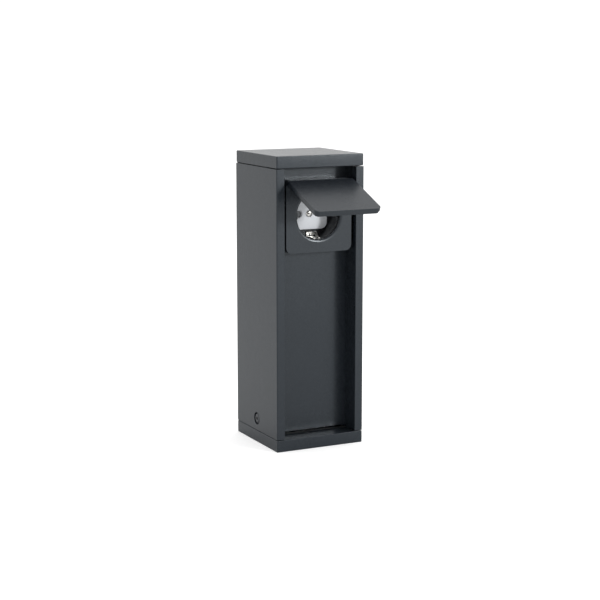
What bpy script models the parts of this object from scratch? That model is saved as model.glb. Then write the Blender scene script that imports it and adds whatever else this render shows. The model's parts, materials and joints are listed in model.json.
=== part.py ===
"""Outdoor power pillar: a square post with one earthed two-pin socket under a hinged splash flap.

Frame: +Z is up, the front faces -Y, and the origin is the centre of the base's underside.
Lengths in this file are millimetres. They become metres where a mesh, a curve or an empty is made.
"""

import math

import bmesh
import bpy
from mathutils import Vector

MM = 0.001

# Post
PILLAR_WIDTH = 80.0
PILLAR_DEPTH = 80.0
PILLAR_HEIGHT = 245.0
BASE_HEIGHT = 10.0
CAP_HEIGHT = 10.0
BASE_INSET = 0.1  # how far the base stands in from the body's sides
CAP_INSET = 0.3
CORNER_RADIUS = 0.8
BODY_WALL = 2.5
JOINT_GAP = 0.6  # shadow gap between the body and the base or the cap
GASKET_THICKNESS = 0.4
GASKET_INSET = 1.0
GASKET_WIDTH = 1.2

# Front recess and the panel that slides in its grooves
STILE_WIDTH = 7.25
RETURN_WALL = 2.0
RECESS_DEPTH = 18.0
PANEL_THICKNESS = 2.0
DRAIN_GAP = 1.6  # slot below the panel that lets water out of the recess
GROOVE_DEPTH = 1.5
GROOVE_CLEARANCE = 0.2
GROOVE_LIP = 2.0

# Cap skirt
SKIRT_HEIGHT = 6.0
SKIRT_WALL = 2.0
CAP_SKIN = 3.0

# Socket frame
FRAME_SIDE_GAP = 2.75  # to each stile
FRAME_TOP_GAP = 10.0  # to the cap
FRAME_SETBACK = 3.0  # behind the stiles' front
FRAME_CORNER = 5.0
FRAME_FRONT_WALL = 3.0
FRAME_SIDE_WALL = 2.0
FRAME_GASKET = 0.5
OPENING_CHAMFER = 2.2
OPENING_CHAMFER_DEPTH = 1.0
COLLAR_WALL = 1.5

# Plug recess and contacts, at the standard socket's sizes
RECESS_RADIUS = 19.7
RECESS_FLOOR_DEPTH = 18.6  # behind the frame's face
CUP_WALL = 1.7
CUP_FLOOR = 2.0
CUP_FLANGE = 2.1  # how far the square flange stands out past the round cup
CUP_FLANGE_THICKNESS = 2.0
GUIDE_RIB_WIDTH = 5.0
GUIDE_RIB_HEIGHT = 2.4
PIN_SPACING = 19.0
PIN_HOLE_RADIUS = 2.75
PIN_HOLE_COUNTERSINK = 0.7
BLOCK_SIDE_GAP = 3.3  # from the block's side to the cup's wall
BLOCK_CORNER = 5.0
BLOCK_PROUD = 0.6  # how far the block stands out of the cup's floor
BLOCK_THICKNESS = 3.8
BLOCK_SKIN = 2.0
SHUTTER_THICKNESS = 1.2
SHUTTER_HALF_WIDTH = 4.0
SHUTTER_HUB_RADIUS = 5.0

# Earth strap
STRAP_THICKNESS = 0.6
STRAP_WIDTH = 6.0
TONGUE_WIDTH = 2.6
STRAP_WALL_GAP = 0.5
STRAP_FOOT_LENGTH = 4.0
TONGUE_REACH = 5.0  # how far the tongue leans in from the strap's wall run
TONGUE_SLOT = 0.9

# Flap
FLAP_THICKNESS = 5.0
FLAP_SIDE_INSET = 0.55  # flap's side against the frame's side
FLAP_SHORTFALL = 4.6  # frame left bare below the closed flap
FLAP_CORNER = 4.0
FLAP_PLATE = 3.2
FLAP_SKIN = 1.8
FLAP_LIP_INSET = 0.8
FLAP_LIP_WALL = 1.2
FLAP_OPEN_DEG = 68.0  # rest pose, turned up from closed
FLAP_FULLY_OPEN_DEG = 100.0
HINGE_TOP_DROP = 2.6  # hinge axis below the frame's top
HINGE_PIN_RADIUS = 0.75
BARREL_SKIN = 0.55
EAR_CENTRE = 22.0
EAR_WIDTH = 4.0
EAR_NECK_HALF = 1.0
EAR_CLEARANCE = 0.25
NECK_MARGIN_DEG = 4.0
SPRING_RADIUS = 1.5
SPRING_WIRE = 0.25
SPRING_TURNS = 6
SPRING_PITCH = 1.1
SPRING_LEG = 3.5
SEAL_WIDTH = 1.5

# Fixings
BEARING_GAP = 0.3  # between pieces that would touch
SNUG_GAP = 0.15  # round a pin or a screw
SIDE_SCREW_HEIGHT = 20.5
SIDE_COUNTERBORE_RADIUS = 5.3
SIDE_COUNTERBORE_DEPTH = 1.4
BRACKET_SHEET = 2.0
BRACKET_HALF_DEPTH = 7.0
BRACKET_LEG_TOP = 31.0
FOOT_SCREW_X = 22.0
GROUND_HOLE_INSET = 11.0
GROUND_HOLE_FRONT = -13.0
GROUND_HOLE_RADIUS = 2.75
GROUND_COUNTERBORE_RADIUS = 5.0
GROUND_COUNTERBORE_DEPTH = 4.0
GLAND_INSET = 16.0  # gland axis from the body's back
GLAND_THREAD_RADIUS = 8.0
CABLE_RADIUS = 4.0

# Terminal block and wires
POLE_PITCH = 10.0
BLOCK_BASE = 34.0
BLOCK_HEIGHT = 16.0
BLOCK_DEPTH = 12.7
TUBE_RADIUS = 2.7
TUBE_BORE = 1.7
WIRE_RADIUS = 1.2

# Screws and small fittings
M4_RADIUS = 1.9
M4_HOLE = 2.3
M3_RADIUS = 1.5
M2_RADIUS = 1.2
M2_HOLE = 1.5
NUT_RADIUS = 4.0
NUT_THICKNESS = 3.2
DRIVE_SLOT = 0.8
DRIVE_DEPTH = 0.45
HEX_DRIVE_RADIUS = 1.4
FOOT_THREAD_DEPTH = 6.0
EARTH_SCREW_X = -10.0
STILE_EDGE_RADIUS = 0.4
GASKET_PLAY = 0.1
CENTRE_HEAD_RADIUS = 2.7
CENTRE_DISH = 1.2
SHUTTER_BOSS_RADIUS = 3.0
CUP_SKIRT = 4.0
TERMINAL_HALF = (3.6, 3.5, 4.0)
PIN_GRIP_BORE = 2.55
PIN_GRIP_OUTER = 3.3
EAR_SIDE_GAP = 0.3
FLAP_POCKET_CORNER = 4.0
SPRING_ROOM_DEG = (-50.0, 75.0)
SPRING_LEG_COVER = 0.4  # flap wall that keeps the spring's leg in
GLAND_FLANGE = 4.0
GLAND_HEX_RADIUS = 12.5
LUG_SHEET = 0.8
LUG_RADIUS = 4.0
TAB_ABOVE_BLOCK = 6.0
CLAMP_SCREW_DEPTH = 1.6  # head seat below the terminal block's back
TONGUE_SLOT_LENGTH = 6.0
TAB_SETBACK = 0.1
HOUSING_STEP_IN = 0.5  # housing's outer face inside the cup's inner face
HOUSING_WALL = 1.6
HOUSING_LENGTH = 23.0
TERMINAL_SETBACK = 15.5
EARTH_TERMINAL_ROOM = 6.6  # earth terminal's middle inside the housing's inner face
COLLAR_CLEARANCE = 0.4
SCREW_HOLE_SKIN = 1.25
SCREW_HOLE_RADIUS = 1.65
BOSS_RADIUS = 3.0
STRAP_STANDOFF = 1.8
BLOCK_FOOT_GAP = 1.6
BLOCK_RIM = 0.8
SHUTTER_CLEARANCE = 0.2
LUG_BARREL_RADIUS = 2.1
BARREL_LIFT = 2.3

# Places worked out from the sizes above
HALF_WIDTH = PILLAR_WIDTH / 2
HALF_DEPTH = PILLAR_DEPTH / 2
FRONT = -HALF_DEPTH
BODY_BOTTOM = BASE_HEIGHT + JOINT_GAP
CAP_BOTTOM = PILLAR_HEIGHT - CAP_HEIGHT
BODY_TOP = CAP_BOTTOM - JOINT_GAP
INNER_X = HALF_WIDTH - BODY_WALL
INNER_BACK = HALF_DEPTH - BODY_WALL
STILE_INNER = HALF_WIDTH - STILE_WIDTH
PANEL_FRONT = FRONT + RECESS_DEPTH
PANEL_BACK = PANEL_FRONT + PANEL_THICKNESS
RETURN_BACK = PANEL_BACK + GROOVE_CLEARANCE + GROOVE_LIP
FRAME_HALF = STILE_INNER - FRAME_SIDE_GAP
FRAME_FRONT = FRONT + FRAME_SETBACK
FRAME_BACK = PANEL_FRONT - FRAME_GASKET - 2 * SNUG_GAP
FRAME_TOP = CAP_BOTTOM - FRAME_TOP_GAP
SOCKET_Z = FRAME_TOP - FRAME_HALF
CUP_OUTER = RECESS_RADIUS + CUP_WALL
CUP_FRONT = FRAME_FRONT + FRAME_FRONT_WALL + BEARING_GAP
FLOOR_FRONT = FRAME_FRONT + RECESS_FLOOR_DEPTH
FLOOR_BACK = FLOOR_FRONT + CUP_FLOOR
COLLAR_INNER = CUP_OUTER + COLLAR_CLEARANCE
BOSS_PLACE = (COLLAR_INNER + SCREW_HOLE_SKIN + SCREW_HOLE_RADIUS) / math.sqrt(2)
FLANGE_HALF = CUP_OUTER + CUP_FLANGE
FLANGE_FRONT = PANEL_BACK + BEARING_GAP
FLANGE_BACK = FLANGE_FRONT + CUP_FLANGE_THICKNESS
STRAP_WALL_RADIUS = RECESS_RADIUS - STRAP_WALL_GAP - STRAP_THICKNESS / 2
STRAP_FOOT_RADIUS = STRAP_WALL_RADIUS - STRAP_FOOT_LENGTH
STRAP_BACK = FLOOR_BACK + STRAP_STANDOFF
BLOCK_HALF_HEIGHT = STRAP_FOOT_RADIUS - STRAP_THICKNESS / 2 - BLOCK_FOOT_GAP
BLOCK_HALF_WIDTH = RECESS_RADIUS - BLOCK_SIDE_GAP
BLOCK_FRONT = FLOOR_FRONT - BLOCK_PROUD
BLOCK_REAR = BLOCK_FRONT + BLOCK_THICKNESS
SHUTTER_POCKET = BLOCK_HALF_HEIGHT - BLOCK_RIM
SHUTTER_FRONT = BLOCK_FRONT + BLOCK_SKIN + SHUTTER_CLEARANCE
HOUSING_FRONT = STRAP_BACK + STRAP_THICKNESS / 2 + BEARING_GAP
HOUSING_RADIUS = RECESS_RADIUS - HOUSING_STEP_IN
HOUSING_BACK = HOUSING_FRONT + HOUSING_LENGTH
TERMINAL_Y = HOUSING_FRONT + TERMINAL_SETBACK
EARTH_TERMINAL_DROP = HOUSING_RADIUS - HOUSING_WALL - EARTH_TERMINAL_ROOM
BARREL_RADIUS = FLAP_THICKNESS / 2
HINGE_Y = FRAME_FRONT - BEARING_GAP - BARREL_RADIUS
HINGE_Z = FRAME_TOP - HINGE_TOP_DROP
FLAP_HALF = FRAME_HALF - FLAP_SIDE_INSET
FLAP_LENGTH = 2 * FRAME_HALF - HINGE_TOP_DROP - FLAP_SHORTFALL  # hinge axis to lower edge
EAR_POCKET_RADIUS = BARREL_RADIUS - BARREL_SKIN
EAR_RADIUS = EAR_POCKET_RADIUS - EAR_CLEARANCE
PIN_BORE = HINGE_PIN_RADIUS + SNUG_GAP
BRACKET_BOTTOM = BASE_HEIGHT + BEARING_GAP
BRACKET_TOP = BRACKET_BOTTOM + BRACKET_SHEET
BRACKET_OUTER = INNER_X - BEARING_GAP
BRACKET_INNER = BRACKET_OUTER - BRACKET_SHEET
TAB_FRONT = -BRACKET_HALF_DEPTH + TAB_SETBACK
TAB_BACK = TAB_FRONT + BRACKET_SHEET
TERMINAL_BLOCK_FRONT = TAB_BACK + BEARING_GAP
POLE_Y = TERMINAL_BLOCK_FRONT + BLOCK_DEPTH / 2
BLOCK_TOP = BLOCK_BASE + BLOCK_HEIGHT
BLOCK_MIDDLE = BLOCK_BASE + BLOCK_HEIGHT / 2
GLAND_Y = HALF_DEPTH - GLAND_INSET

# Colour (linear), roughness, metallic
POWDER_COAT = ((0.055, 0.060, 0.068), 0.50, 0.0)
FLAP_PLASTIC = ((0.050, 0.055, 0.062), 0.45, 0.0)
BLACK_PLASTIC = ((0.010, 0.010, 0.012), 0.40, 0.0)
GREY_PLASTIC = ((0.55, 0.57, 0.60), 0.45, 0.0)
WHITE_PLASTIC = ((0.75, 0.75, 0.72), 0.50, 0.0)
RUBBER = ((0.012, 0.012, 0.012), 0.85, 0.0)
ZINC_STEEL = ((0.62, 0.62, 0.60), 0.35, 1.0)
STAINLESS = ((0.60, 0.60, 0.59), 0.28, 1.0)
BLACK_STEEL = ((0.085, 0.088, 0.095), 0.38, 1.0)
NICKEL = ((0.70, 0.69, 0.66), 0.22, 1.0)
BRASS = ((0.72, 0.53, 0.22), 0.30, 1.0)
BROWN_WIRE = ((0.12, 0.045, 0.02), 0.50, 0.0)
BLUE_WIRE = ((0.02, 0.08, 0.40), 0.50, 0.0)
EARTH_WIRE = ((0.22, 0.42, 0.04), 0.50, 0.0)


# ---------------------------------------------------------------- outlines


def arc(centre, radius, start, end, steps):
    """Points along an arc, angles in degrees, both ends included."""
    points = []
    for i in range(steps + 1):
        angle = math.radians(start + (end - start) * i / steps)
        points.append((centre[0] + radius * math.cos(angle), centre[1] + radius * math.sin(angle)))
    return points


def circle(radius, sides, centre=(0.0, 0.0)):
    return arc(centre, radius, 0, 360, sides)[:-1]


def rectangle(low, high, radius=0.0, steps=4):
    """Outline of a rectangle, with round corners when radius is set."""
    if not radius:
        return [low, (high[0], low[1]), high, (low[0], high[1])]
    corners = (
        ((high[0] - radius, high[1] - radius), 0),
        ((low[0] + radius, high[1] - radius), 90),
        ((low[0] + radius, low[1] + radius), 180),
        ((high[0] - radius, low[1] + radius), 270),
    )
    points = []
    for centre, start in corners:
        points += arc(centre, radius, start, start + 90, steps)
    return points


def rounded(corners, steps=3):
    """Replaces each (u, v, radius) corner of a closed outline by an arc, where radius is more than 0."""
    points = []
    for i, (u, v, radius) in enumerate(corners):
        here = Vector((u, v))
        if not radius:
            points.append((u, v))
            continue
        before = (Vector(corners[i - 1][:2]) - here).normalized()
        after = (Vector(corners[(i + 1) % len(corners)][:2]) - here).normalized()
        half = before.angle(after) / 2
        centre = here + (before + after).normalized() * (radius / math.sin(half))
        start = here + before * (radius / math.tan(half)) - centre
        end = here + after * (radius / math.tan(half)) - centre
        turn = start.angle_signed(end)
        for step in range(steps + 1):
            angle = math.atan2(start.y, start.x) - turn * step / steps
            points.append((centre.x + radius * math.cos(angle), centre.y + radius * math.sin(angle)))
    return points


# ---------------------------------------------------------------- solids


def paint(obj, finish):
    colour, roughness, metallic = finish
    material = bpy.data.materials.new(obj.name + "_finish")
    material.use_nodes = True
    shader = material.node_tree.nodes["Principled BSDF"]
    shader.inputs["Base Color"].default_value = (*colour, 1.0)
    shader.inputs["Roughness"].default_value = roughness
    shader.inputs["Metallic"].default_value = metallic
    material.diffuse_color = (*colour, 1.0)
    obj.data.materials.append(material)


def finished(name, shape, finish):
    """Object from a bmesh in millimetres. A helper has no finish: it is hidden and drawn as wire."""
    bmesh.ops.recalc_face_normals(shape, faces=shape.faces)
    bmesh.ops.scale(shape, vec=(MM, MM, MM), verts=shape.verts)
    mesh = bpy.data.meshes.new(name)
    shape.to_mesh(mesh)
    shape.free()
    mesh.shade_smooth()
    mesh.set_sharp_from_angle(angle=math.radians(35))
    obj = bpy.data.objects.new(name, mesh)
    bpy.context.scene.collection.objects.link(obj)
    if finish:
        paint(obj, finish)
    else:
        obj.hide_render = True
        obj.display_type = "WIRE"
    return obj


def prism(name, outline, along, low, high, finish=None):
    """Outline pushed from low to high along X, Y or Z. It is given in the other two axes, in that order."""
    index = "XYZ".index(along)
    shape = bmesh.new()
    rings = []
    for level in (low, high):
        ring = []
        for pair in outline:
            point = list(pair)
            point.insert(index, level)
            ring.append(shape.verts.new(point))
        rings.append(ring)
    shape.faces.new(rings[0])
    shape.faces.new(rings[1])
    for i in range(len(outline)):
        j = (i + 1) % len(outline)
        shape.faces.new((rings[0][i], rings[0][j], rings[1][j], rings[1][i]))
    return finished(name, shape, finish)


def block(name, low, high, finish=None):
    return prism(name, rectangle(low[:2], high[:2]), "Z", low[2], high[2], finish)


def turned(name, profile, centre, axis, finish=None, sides=24):
    """Profile of (radius, distance) pairs turned about an axis from centre. It is a closed loop, unless both
    its ends have radius 0, where it meets the axis."""
    axis = Vector(axis)
    side = Vector((0, 0, 1)) if abs(axis.z) < 0.5 else Vector((1, 0, 0))
    other = axis.cross(side)
    shape = bmesh.new()
    rings = []
    for radius, distance in profile:
        middle = Vector(centre) + axis * distance
        if radius == 0:
            rings.append([shape.verts.new(middle)])
            continue
        ring = []
        for i in range(sides):
            angle = 2 * math.pi * i / sides
            ring.append(shape.verts.new(middle + (side * math.cos(angle) + other * math.sin(angle)) * radius))
        rings.append(ring)
    solid = profile[0][0] == 0
    for k in range(len(rings) - 1 if solid else len(rings)):
        first = rings[k]
        second = rings[(k + 1) % len(rings)]
        for i in range(sides):
            j = (i + 1) % sides
            near = [first[i % len(first)], first[j % len(first)]]
            far = [second[j % len(second)], second[i % len(second)]]
            shape.faces.new(list(dict.fromkeys(near + far)))
    return finished(name, shape, finish)


def bent_strip(name, path, thickness, low, high, finish=None):
    """Sheet strip: a path in Y and Z given a thickness to each side, low to high in X."""
    points = [Vector(point) for point in path]
    left = []
    right = []
    for i, point in enumerate(points):
        before = (point - points[i - 1]).normalized() if i else None
        after = (points[i + 1] - point).normalized() if i < len(points) - 1 else None
        along = ((before or after) + (after or before)).normalized()
        normal = Vector((-along.y, along.x))
        lean = (after or before)
        reach = thickness / 2 / max(normal.dot(Vector((-lean.y, lean.x))), 0.3)
        left.append(tuple(point + normal * reach))
        right.append(tuple(point - normal * reach))
    return prism(name, left + right[::-1], "X", low, high, finish)


def wire(name, route, radius, finish, resolution=2, parent=None):
    """Round wire along points, with closed ends."""
    curve = bpy.data.curves.new(name, "CURVE")
    curve.dimensions = "3D"
    curve.bevel_depth = radius * MM
    curve.bevel_resolution = resolution
    curve.use_fill_caps = True
    spline = curve.splines.new("POLY")
    spline.points.add(len(route) - 1)
    for point, place in zip(spline.points, route):
        point.co = (*(Vector(place) * MM), 1.0)
    obj = bpy.data.objects.new(name, curve)
    bpy.context.scene.collection.objects.link(obj)
    obj.parent = parent
    paint(obj, finish)
    return obj


def smooth_route(points, steps=5):
    """Catmull-Rom curve through the points."""
    ends = [Vector(point) for point in points]
    ends = [2 * ends[0] - ends[1], *ends, 2 * ends[-1] - ends[-2]]
    route = []
    for i in range(1, len(ends) - 2):
        p0, p1, p2, p3 = ends[i - 1 : i + 3]
        for step in range(steps):
            t = step / steps
            route.append(
                0.5 * (2 * p1 + (p2 - p0) * t + (2 * p0 - 5 * p1 + 4 * p2 - p3) * t**2
                       + (3 * p1 - p0 - 3 * p2 + p3) * t**3)
            )
    route.append(ends[-2])
    return route


def combine(target, operation, tools):
    for tool in tools:
        modifier = target.modifiers.new(tool.name, "BOOLEAN")
        modifier.operation = operation
        modifier.solver = "EXACT"
        modifier.object = tool


def cut(target, *tools):
    combine(target, "DIFFERENCE", tools)


def fuse(target, *tools):
    combine(target, "UNION", tools)


def hole(name, centre, along, radius, length, sides=14):
    """Cutting cylinder centred on a point."""
    index = "XYZ".index(along)
    across = [value for i, value in enumerate(centre) if i != index]
    middle = centre[index]
    return prism(name, circle(radius, sides, across), along, middle - length / 2, middle + length / 2)


def screw(name, seat, direction, head, shank, finish, drive="slot"):
    """Screw whose head's underside sits at seat. head and shank are (radius, length). direction points out of
    the head, along one axis. The drive is a slot or a hexagon socket."""
    index = [abs(value) for value in direction].index(1)
    sign = direction[index]
    profile = [
        (0.0, -shank[1]),
        (shank[0], -shank[1]),
        (shank[0], 0.0),
        (head[0], 0.0),
        (head[0], head[1] * 0.6),
        (head[0] * 0.8, head[1]),
        (0.0, head[1]),
    ]
    body = turned(name, profile, seat, direction, finish, sides=14)
    across = [value for i, value in enumerate(seat) if i != index]
    if drive == "slot":
        reach = (head[0] + 1.0, DRIVE_SLOT / 2)
        outline = rectangle(
            (across[0] - reach[0], across[1] - reach[1]), (across[0] + reach[0], across[1] + reach[1])
        )
    else:
        outline = circle(HEX_DRIVE_RADIUS, 6, across)
    top = seat[index] + sign * head[1]
    floor = top - sign * head[1] * DRIVE_DEPTH
    cut(body, prism(name + "_drive", outline, "XYZ"[index], *sorted((floor, top + sign))))
    return body


def ring(name, outer, inner, along, low, high, finish=None):
    """Flat ring between two outlines that have the same number of points."""
    index = "XYZ".index(along)
    shape = bmesh.new()
    loops = []
    for outline, level in ((outer, low), (outer, high), (inner, high), (inner, low)):
        loop = []
        for pair in outline:
            point = list(pair)
            point.insert(index, level)
            loop.append(shape.verts.new(point))
        loops.append(loop)
    for k in range(4):
        first = loops[k]
        second = loops[(k + 1) % 4]
        for i in range(len(outer)):
            j = (i + 1) % len(outer)
            shape.faces.new((first[i], first[j], second[j], second[i]))
    return finished(name, shape, finish)


def soften(obj, width, segments=2):
    """Rounds an object's sharp edges."""
    bevel = obj.modifiers.new("soft_edges", "BEVEL")
    bevel.width = width * MM
    bevel.segments = segments
    bevel.limit_method = "ANGLE"
    bevel.angle_limit = math.radians(50)


def square_on_socket(half, radius=0.0, steps=4):
    """Outline in X and Z of a square centred on the socket."""
    return rectangle((-half, SOCKET_Z - half), (half, SOCKET_Z + half), radius, steps)


def pivot(name, place, turn=(0.0, 0.0, 0.0)):
    empty = bpy.data.objects.new(name, None)
    empty.location = Vector(place) * MM
    empty.rotation_euler = turn
    empty.empty_display_size = 10 * MM
    bpy.context.scene.collection.objects.link(empty)
    return empty


# ---------------------------------------------------------------- post


def make_base_plate():
    half = (HALF_WIDTH - BASE_INSET, HALF_DEPTH - BASE_INSET)
    outline = rectangle((-half[0], -half[1]), half, CORNER_RADIUS)
    plate = prism("base_plate", outline, "Z", 0.0, BASE_HEIGHT, POWDER_COAT)
    soften(plate, 0.4)
    cut(plate, hole("cable_hole", (0, GLAND_Y, BASE_HEIGHT / 2), "Z", GLAND_THREAD_RADIUS + 0.4, 30, 32))
    place_x = HALF_WIDTH - GROUND_HOLE_INSET
    for x in (-place_x, place_x):
        for y in (GROUND_HOLE_FRONT, HALF_DEPTH - GROUND_HOLE_INSET):
            cut(
                plate,
                hole("ground_hole", (x, y, BASE_HEIGHT / 2), "Z", GROUND_HOLE_RADIUS, 30),
                hole("ground_counterbore", (x, y, BASE_HEIGHT), "Z", GROUND_COUNTERBORE_RADIUS,
                     2 * GROUND_COUNTERBORE_DEPTH),
            )
    for x in (-FOOT_SCREW_X, FOOT_SCREW_X, EARTH_SCREW_X):
        cut(plate, hole("foot_thread", (x, 0, BASE_HEIGHT), "Z", M4_RADIUS + SNUG_GAP, 2 * FOOT_THREAD_DEPTH))


def gasket_ring(name, low):
    half = HALF_WIDTH - GASKET_INSET
    back = HALF_DEPTH - GASKET_INSET
    outer = rectangle((-half, PANEL_FRONT), (half, back))
    half -= GASKET_WIDTH
    inner = rectangle((-half, PANEL_FRONT + GASKET_WIDTH), (half, back - GASKET_WIDTH))
    ring(name, outer, inner, "Z", low, low + GASKET_THICKNESS, RUBBER)


def body_outline():
    """Section of the body: a square tube that folds in to two stiles, each with a groove for the panel."""
    groove_front = PANEL_FRONT - GROOVE_CLEARANCE
    groove_back = PANEL_BACK + GROOVE_CLEARANCE
    groove_x = STILE_INNER + GROOVE_DEPTH
    bead_x = groove_x + RETURN_WALL
    right = [
        (HALF_WIDTH, HALF_DEPTH, CORNER_RADIUS),
        (HALF_WIDTH, FRONT, CORNER_RADIUS),
        (STILE_INNER, FRONT, STILE_EDGE_RADIUS),
        (STILE_INNER, groove_front, 0),
        (groove_x, groove_front, 0),
        (groove_x, groove_back, 0),
        (STILE_INNER, groove_back, 0),
        (STILE_INNER, RETURN_BACK, 0),
        (bead_x, RETURN_BACK, 0),
        (bead_x, groove_front - GROOVE_LIP, 0),
        (STILE_INNER + RETURN_WALL, groove_front - GROOVE_LIP, 0),
        (STILE_INNER + RETURN_WALL, FRONT + BODY_WALL, 0),
        (INNER_X, FRONT + BODY_WALL, 0),
        (INNER_X, INNER_BACK, 0),
    ]
    left = [(-x, y, radius) for x, y, radius in reversed(right)]
    return rounded(right + left)


def make_body_shell():
    shell = prism("body_shell", body_outline(), "Z", BODY_BOTTOM, BODY_TOP, POWDER_COAT)
    for side in (-1, 1):
        face = side * HALF_WIDTH
        cut(
            shell,
            hole("side_hole", (face, 0, SIDE_SCREW_HEIGHT), "X", M4_HOLE, 3 * BODY_WALL),
            hole("side_counterbore", (face, 0, SIDE_SCREW_HEIGHT), "X", SIDE_COUNTERBORE_RADIUS,
                 2 * SIDE_COUNTERBORE_DEPTH, 32),
        )


def make_front_panel():
    half = STILE_INNER + GROOVE_DEPTH - GROOVE_CLEARANCE
    panel = block(
        "front_panel", (-half, PANEL_FRONT, BODY_BOTTOM), (half, PANEL_BACK, BODY_TOP), POWDER_COAT
    )
    middle = (PANEL_FRONT + PANEL_BACK) / 2
    cut(panel, hole("cup_hole", (0, middle, SOCKET_Z), "Y", COLLAR_INNER, 3 * PANEL_THICKNESS, 48))
    for x, z in boss_places():
        cut(panel, hole("frame_screw_hole", (x, middle, z), "Y", SCREW_HOLE_RADIUS, 3 * PANEL_THICKNESS))
    drain_low = (-STILE_INNER, PANEL_FRONT - PANEL_THICKNESS, BODY_BOTTOM - DRAIN_GAP)
    drain_high = (STILE_INNER, PANEL_BACK + PANEL_THICKNESS, BODY_BOTTOM + DRAIN_GAP)
    cut(panel, block("drain_slot", drain_low, drain_high))


def make_top_cap():
    half = (HALF_WIDTH - CAP_INSET, HALF_DEPTH - CAP_INSET)
    outline = rectangle((-half[0], -half[1]), half, CORNER_RADIUS)
    cap = prism("top_cap", outline, "Z", CAP_BOTTOM, PILLAR_HEIGHT, POWDER_COAT)
    soften(cap, 0.6)
    low = Vector((-INNER_X + BEARING_GAP, RETURN_BACK + 0.5))
    high = Vector((INNER_X - BEARING_GAP, INNER_BACK - BEARING_GAP))
    inset = Vector((SKIRT_WALL, SKIRT_WALL))
    fuse(cap, prism("cap_skirt", rectangle(low, high, 1.0), "Z", BODY_TOP - SKIRT_HEIGHT, CAP_BOTTOM + 1.0))
    cut(
        cap,
        prism("cap_pocket", rectangle(low + inset, high - inset, 1.0), "Z", BODY_TOP - SKIRT_HEIGHT - 1.0,
              PILLAR_HEIGHT - CAP_SKIN),
    )


def make_post():
    make_base_plate()
    gasket_ring("base_gasket", BASE_HEIGHT + GASKET_PLAY)
    make_body_shell()
    make_front_panel()
    gasket_ring("cap_gasket", BODY_TOP + GASKET_PLAY)
    make_top_cap()


# ---------------------------------------------------------------- base fixings


def make_base_bracket():
    outline = [
        (-BRACKET_OUTER, BRACKET_BOTTOM),
        (BRACKET_OUTER, BRACKET_BOTTOM),
        (BRACKET_OUTER, BRACKET_LEG_TOP),
        (BRACKET_INNER, BRACKET_LEG_TOP),
        (BRACKET_INNER, BRACKET_TOP),
        (-BRACKET_INNER, BRACKET_TOP),
        (-BRACKET_INNER, BRACKET_LEG_TOP),
        (-BRACKET_OUTER, BRACKET_LEG_TOP),
    ]
    bracket = prism("base_bracket", outline, "Y", -BRACKET_HALF_DEPTH, BRACKET_HALF_DEPTH, ZINC_STEEL)
    tab_half = 1.5 * POLE_PITCH
    fuse(
        bracket,
        block(
            "bracket_tab",
            (-tab_half, TAB_FRONT, BRACKET_BOTTOM + 0.7),
            (tab_half, TAB_BACK, BLOCK_TOP + TAB_ABOVE_BLOCK),
        ),
    )
    for side in (-1, 1):
        cut(bracket, hole("leg_hole", (side * BRACKET_OUTER, 0, SIDE_SCREW_HEIGHT), "X", M4_HOLE, 12))
        cut(bracket, hole("tab_hole", (side * POLE_PITCH / 2, TAB_FRONT, BLOCK_MIDDLE), "Y", M2_HOLE, 12))
    for x in (-FOOT_SCREW_X, FOOT_SCREW_X, EARTH_SCREW_X):
        cut(bracket, hole("foot_hole", (x, 0, BRACKET_BOTTOM), "Z", M4_HOLE, 12))


def make_base_fixings():
    make_base_bracket()
    for side, word in ((-1, "left"), (1, "right")):
        seat = HALF_WIDTH - SIDE_COUNTERBORE_DEPTH + SNUG_GAP
        screw(f"side_screw_{word}", (side * seat, 0, SIDE_SCREW_HEIGHT), (side, 0, 0), (3.8, 1.1),
              (M4_RADIUS, seat - BRACKET_INNER + NUT_THICKNESS + 1.5), BLACK_STEEL, "hexagon")
        near = BRACKET_INNER - BEARING_GAP
        ends = sorted((side * near, side * (near - NUT_THICKNESS)))
        nut = prism(f"side_nut_{word}", circle(NUT_RADIUS, 6, (0, SIDE_SCREW_HEIGHT)), "X", *ends, ZINC_STEEL)
        cut(nut, hole("nut_thread", (side * near, 0, SIDE_SCREW_HEIGHT), "X", M4_RADIUS + SNUG_GAP, 20))
        screw(f"foot_screw_{word}", (side * FOOT_SCREW_X, 0, BRACKET_TOP + SNUG_GAP), (0, 0, 1), (3.6, 2.2),
              (M4_RADIUS, FOOT_THREAD_DEPTH + 1.5), ZINC_STEEL)


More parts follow.
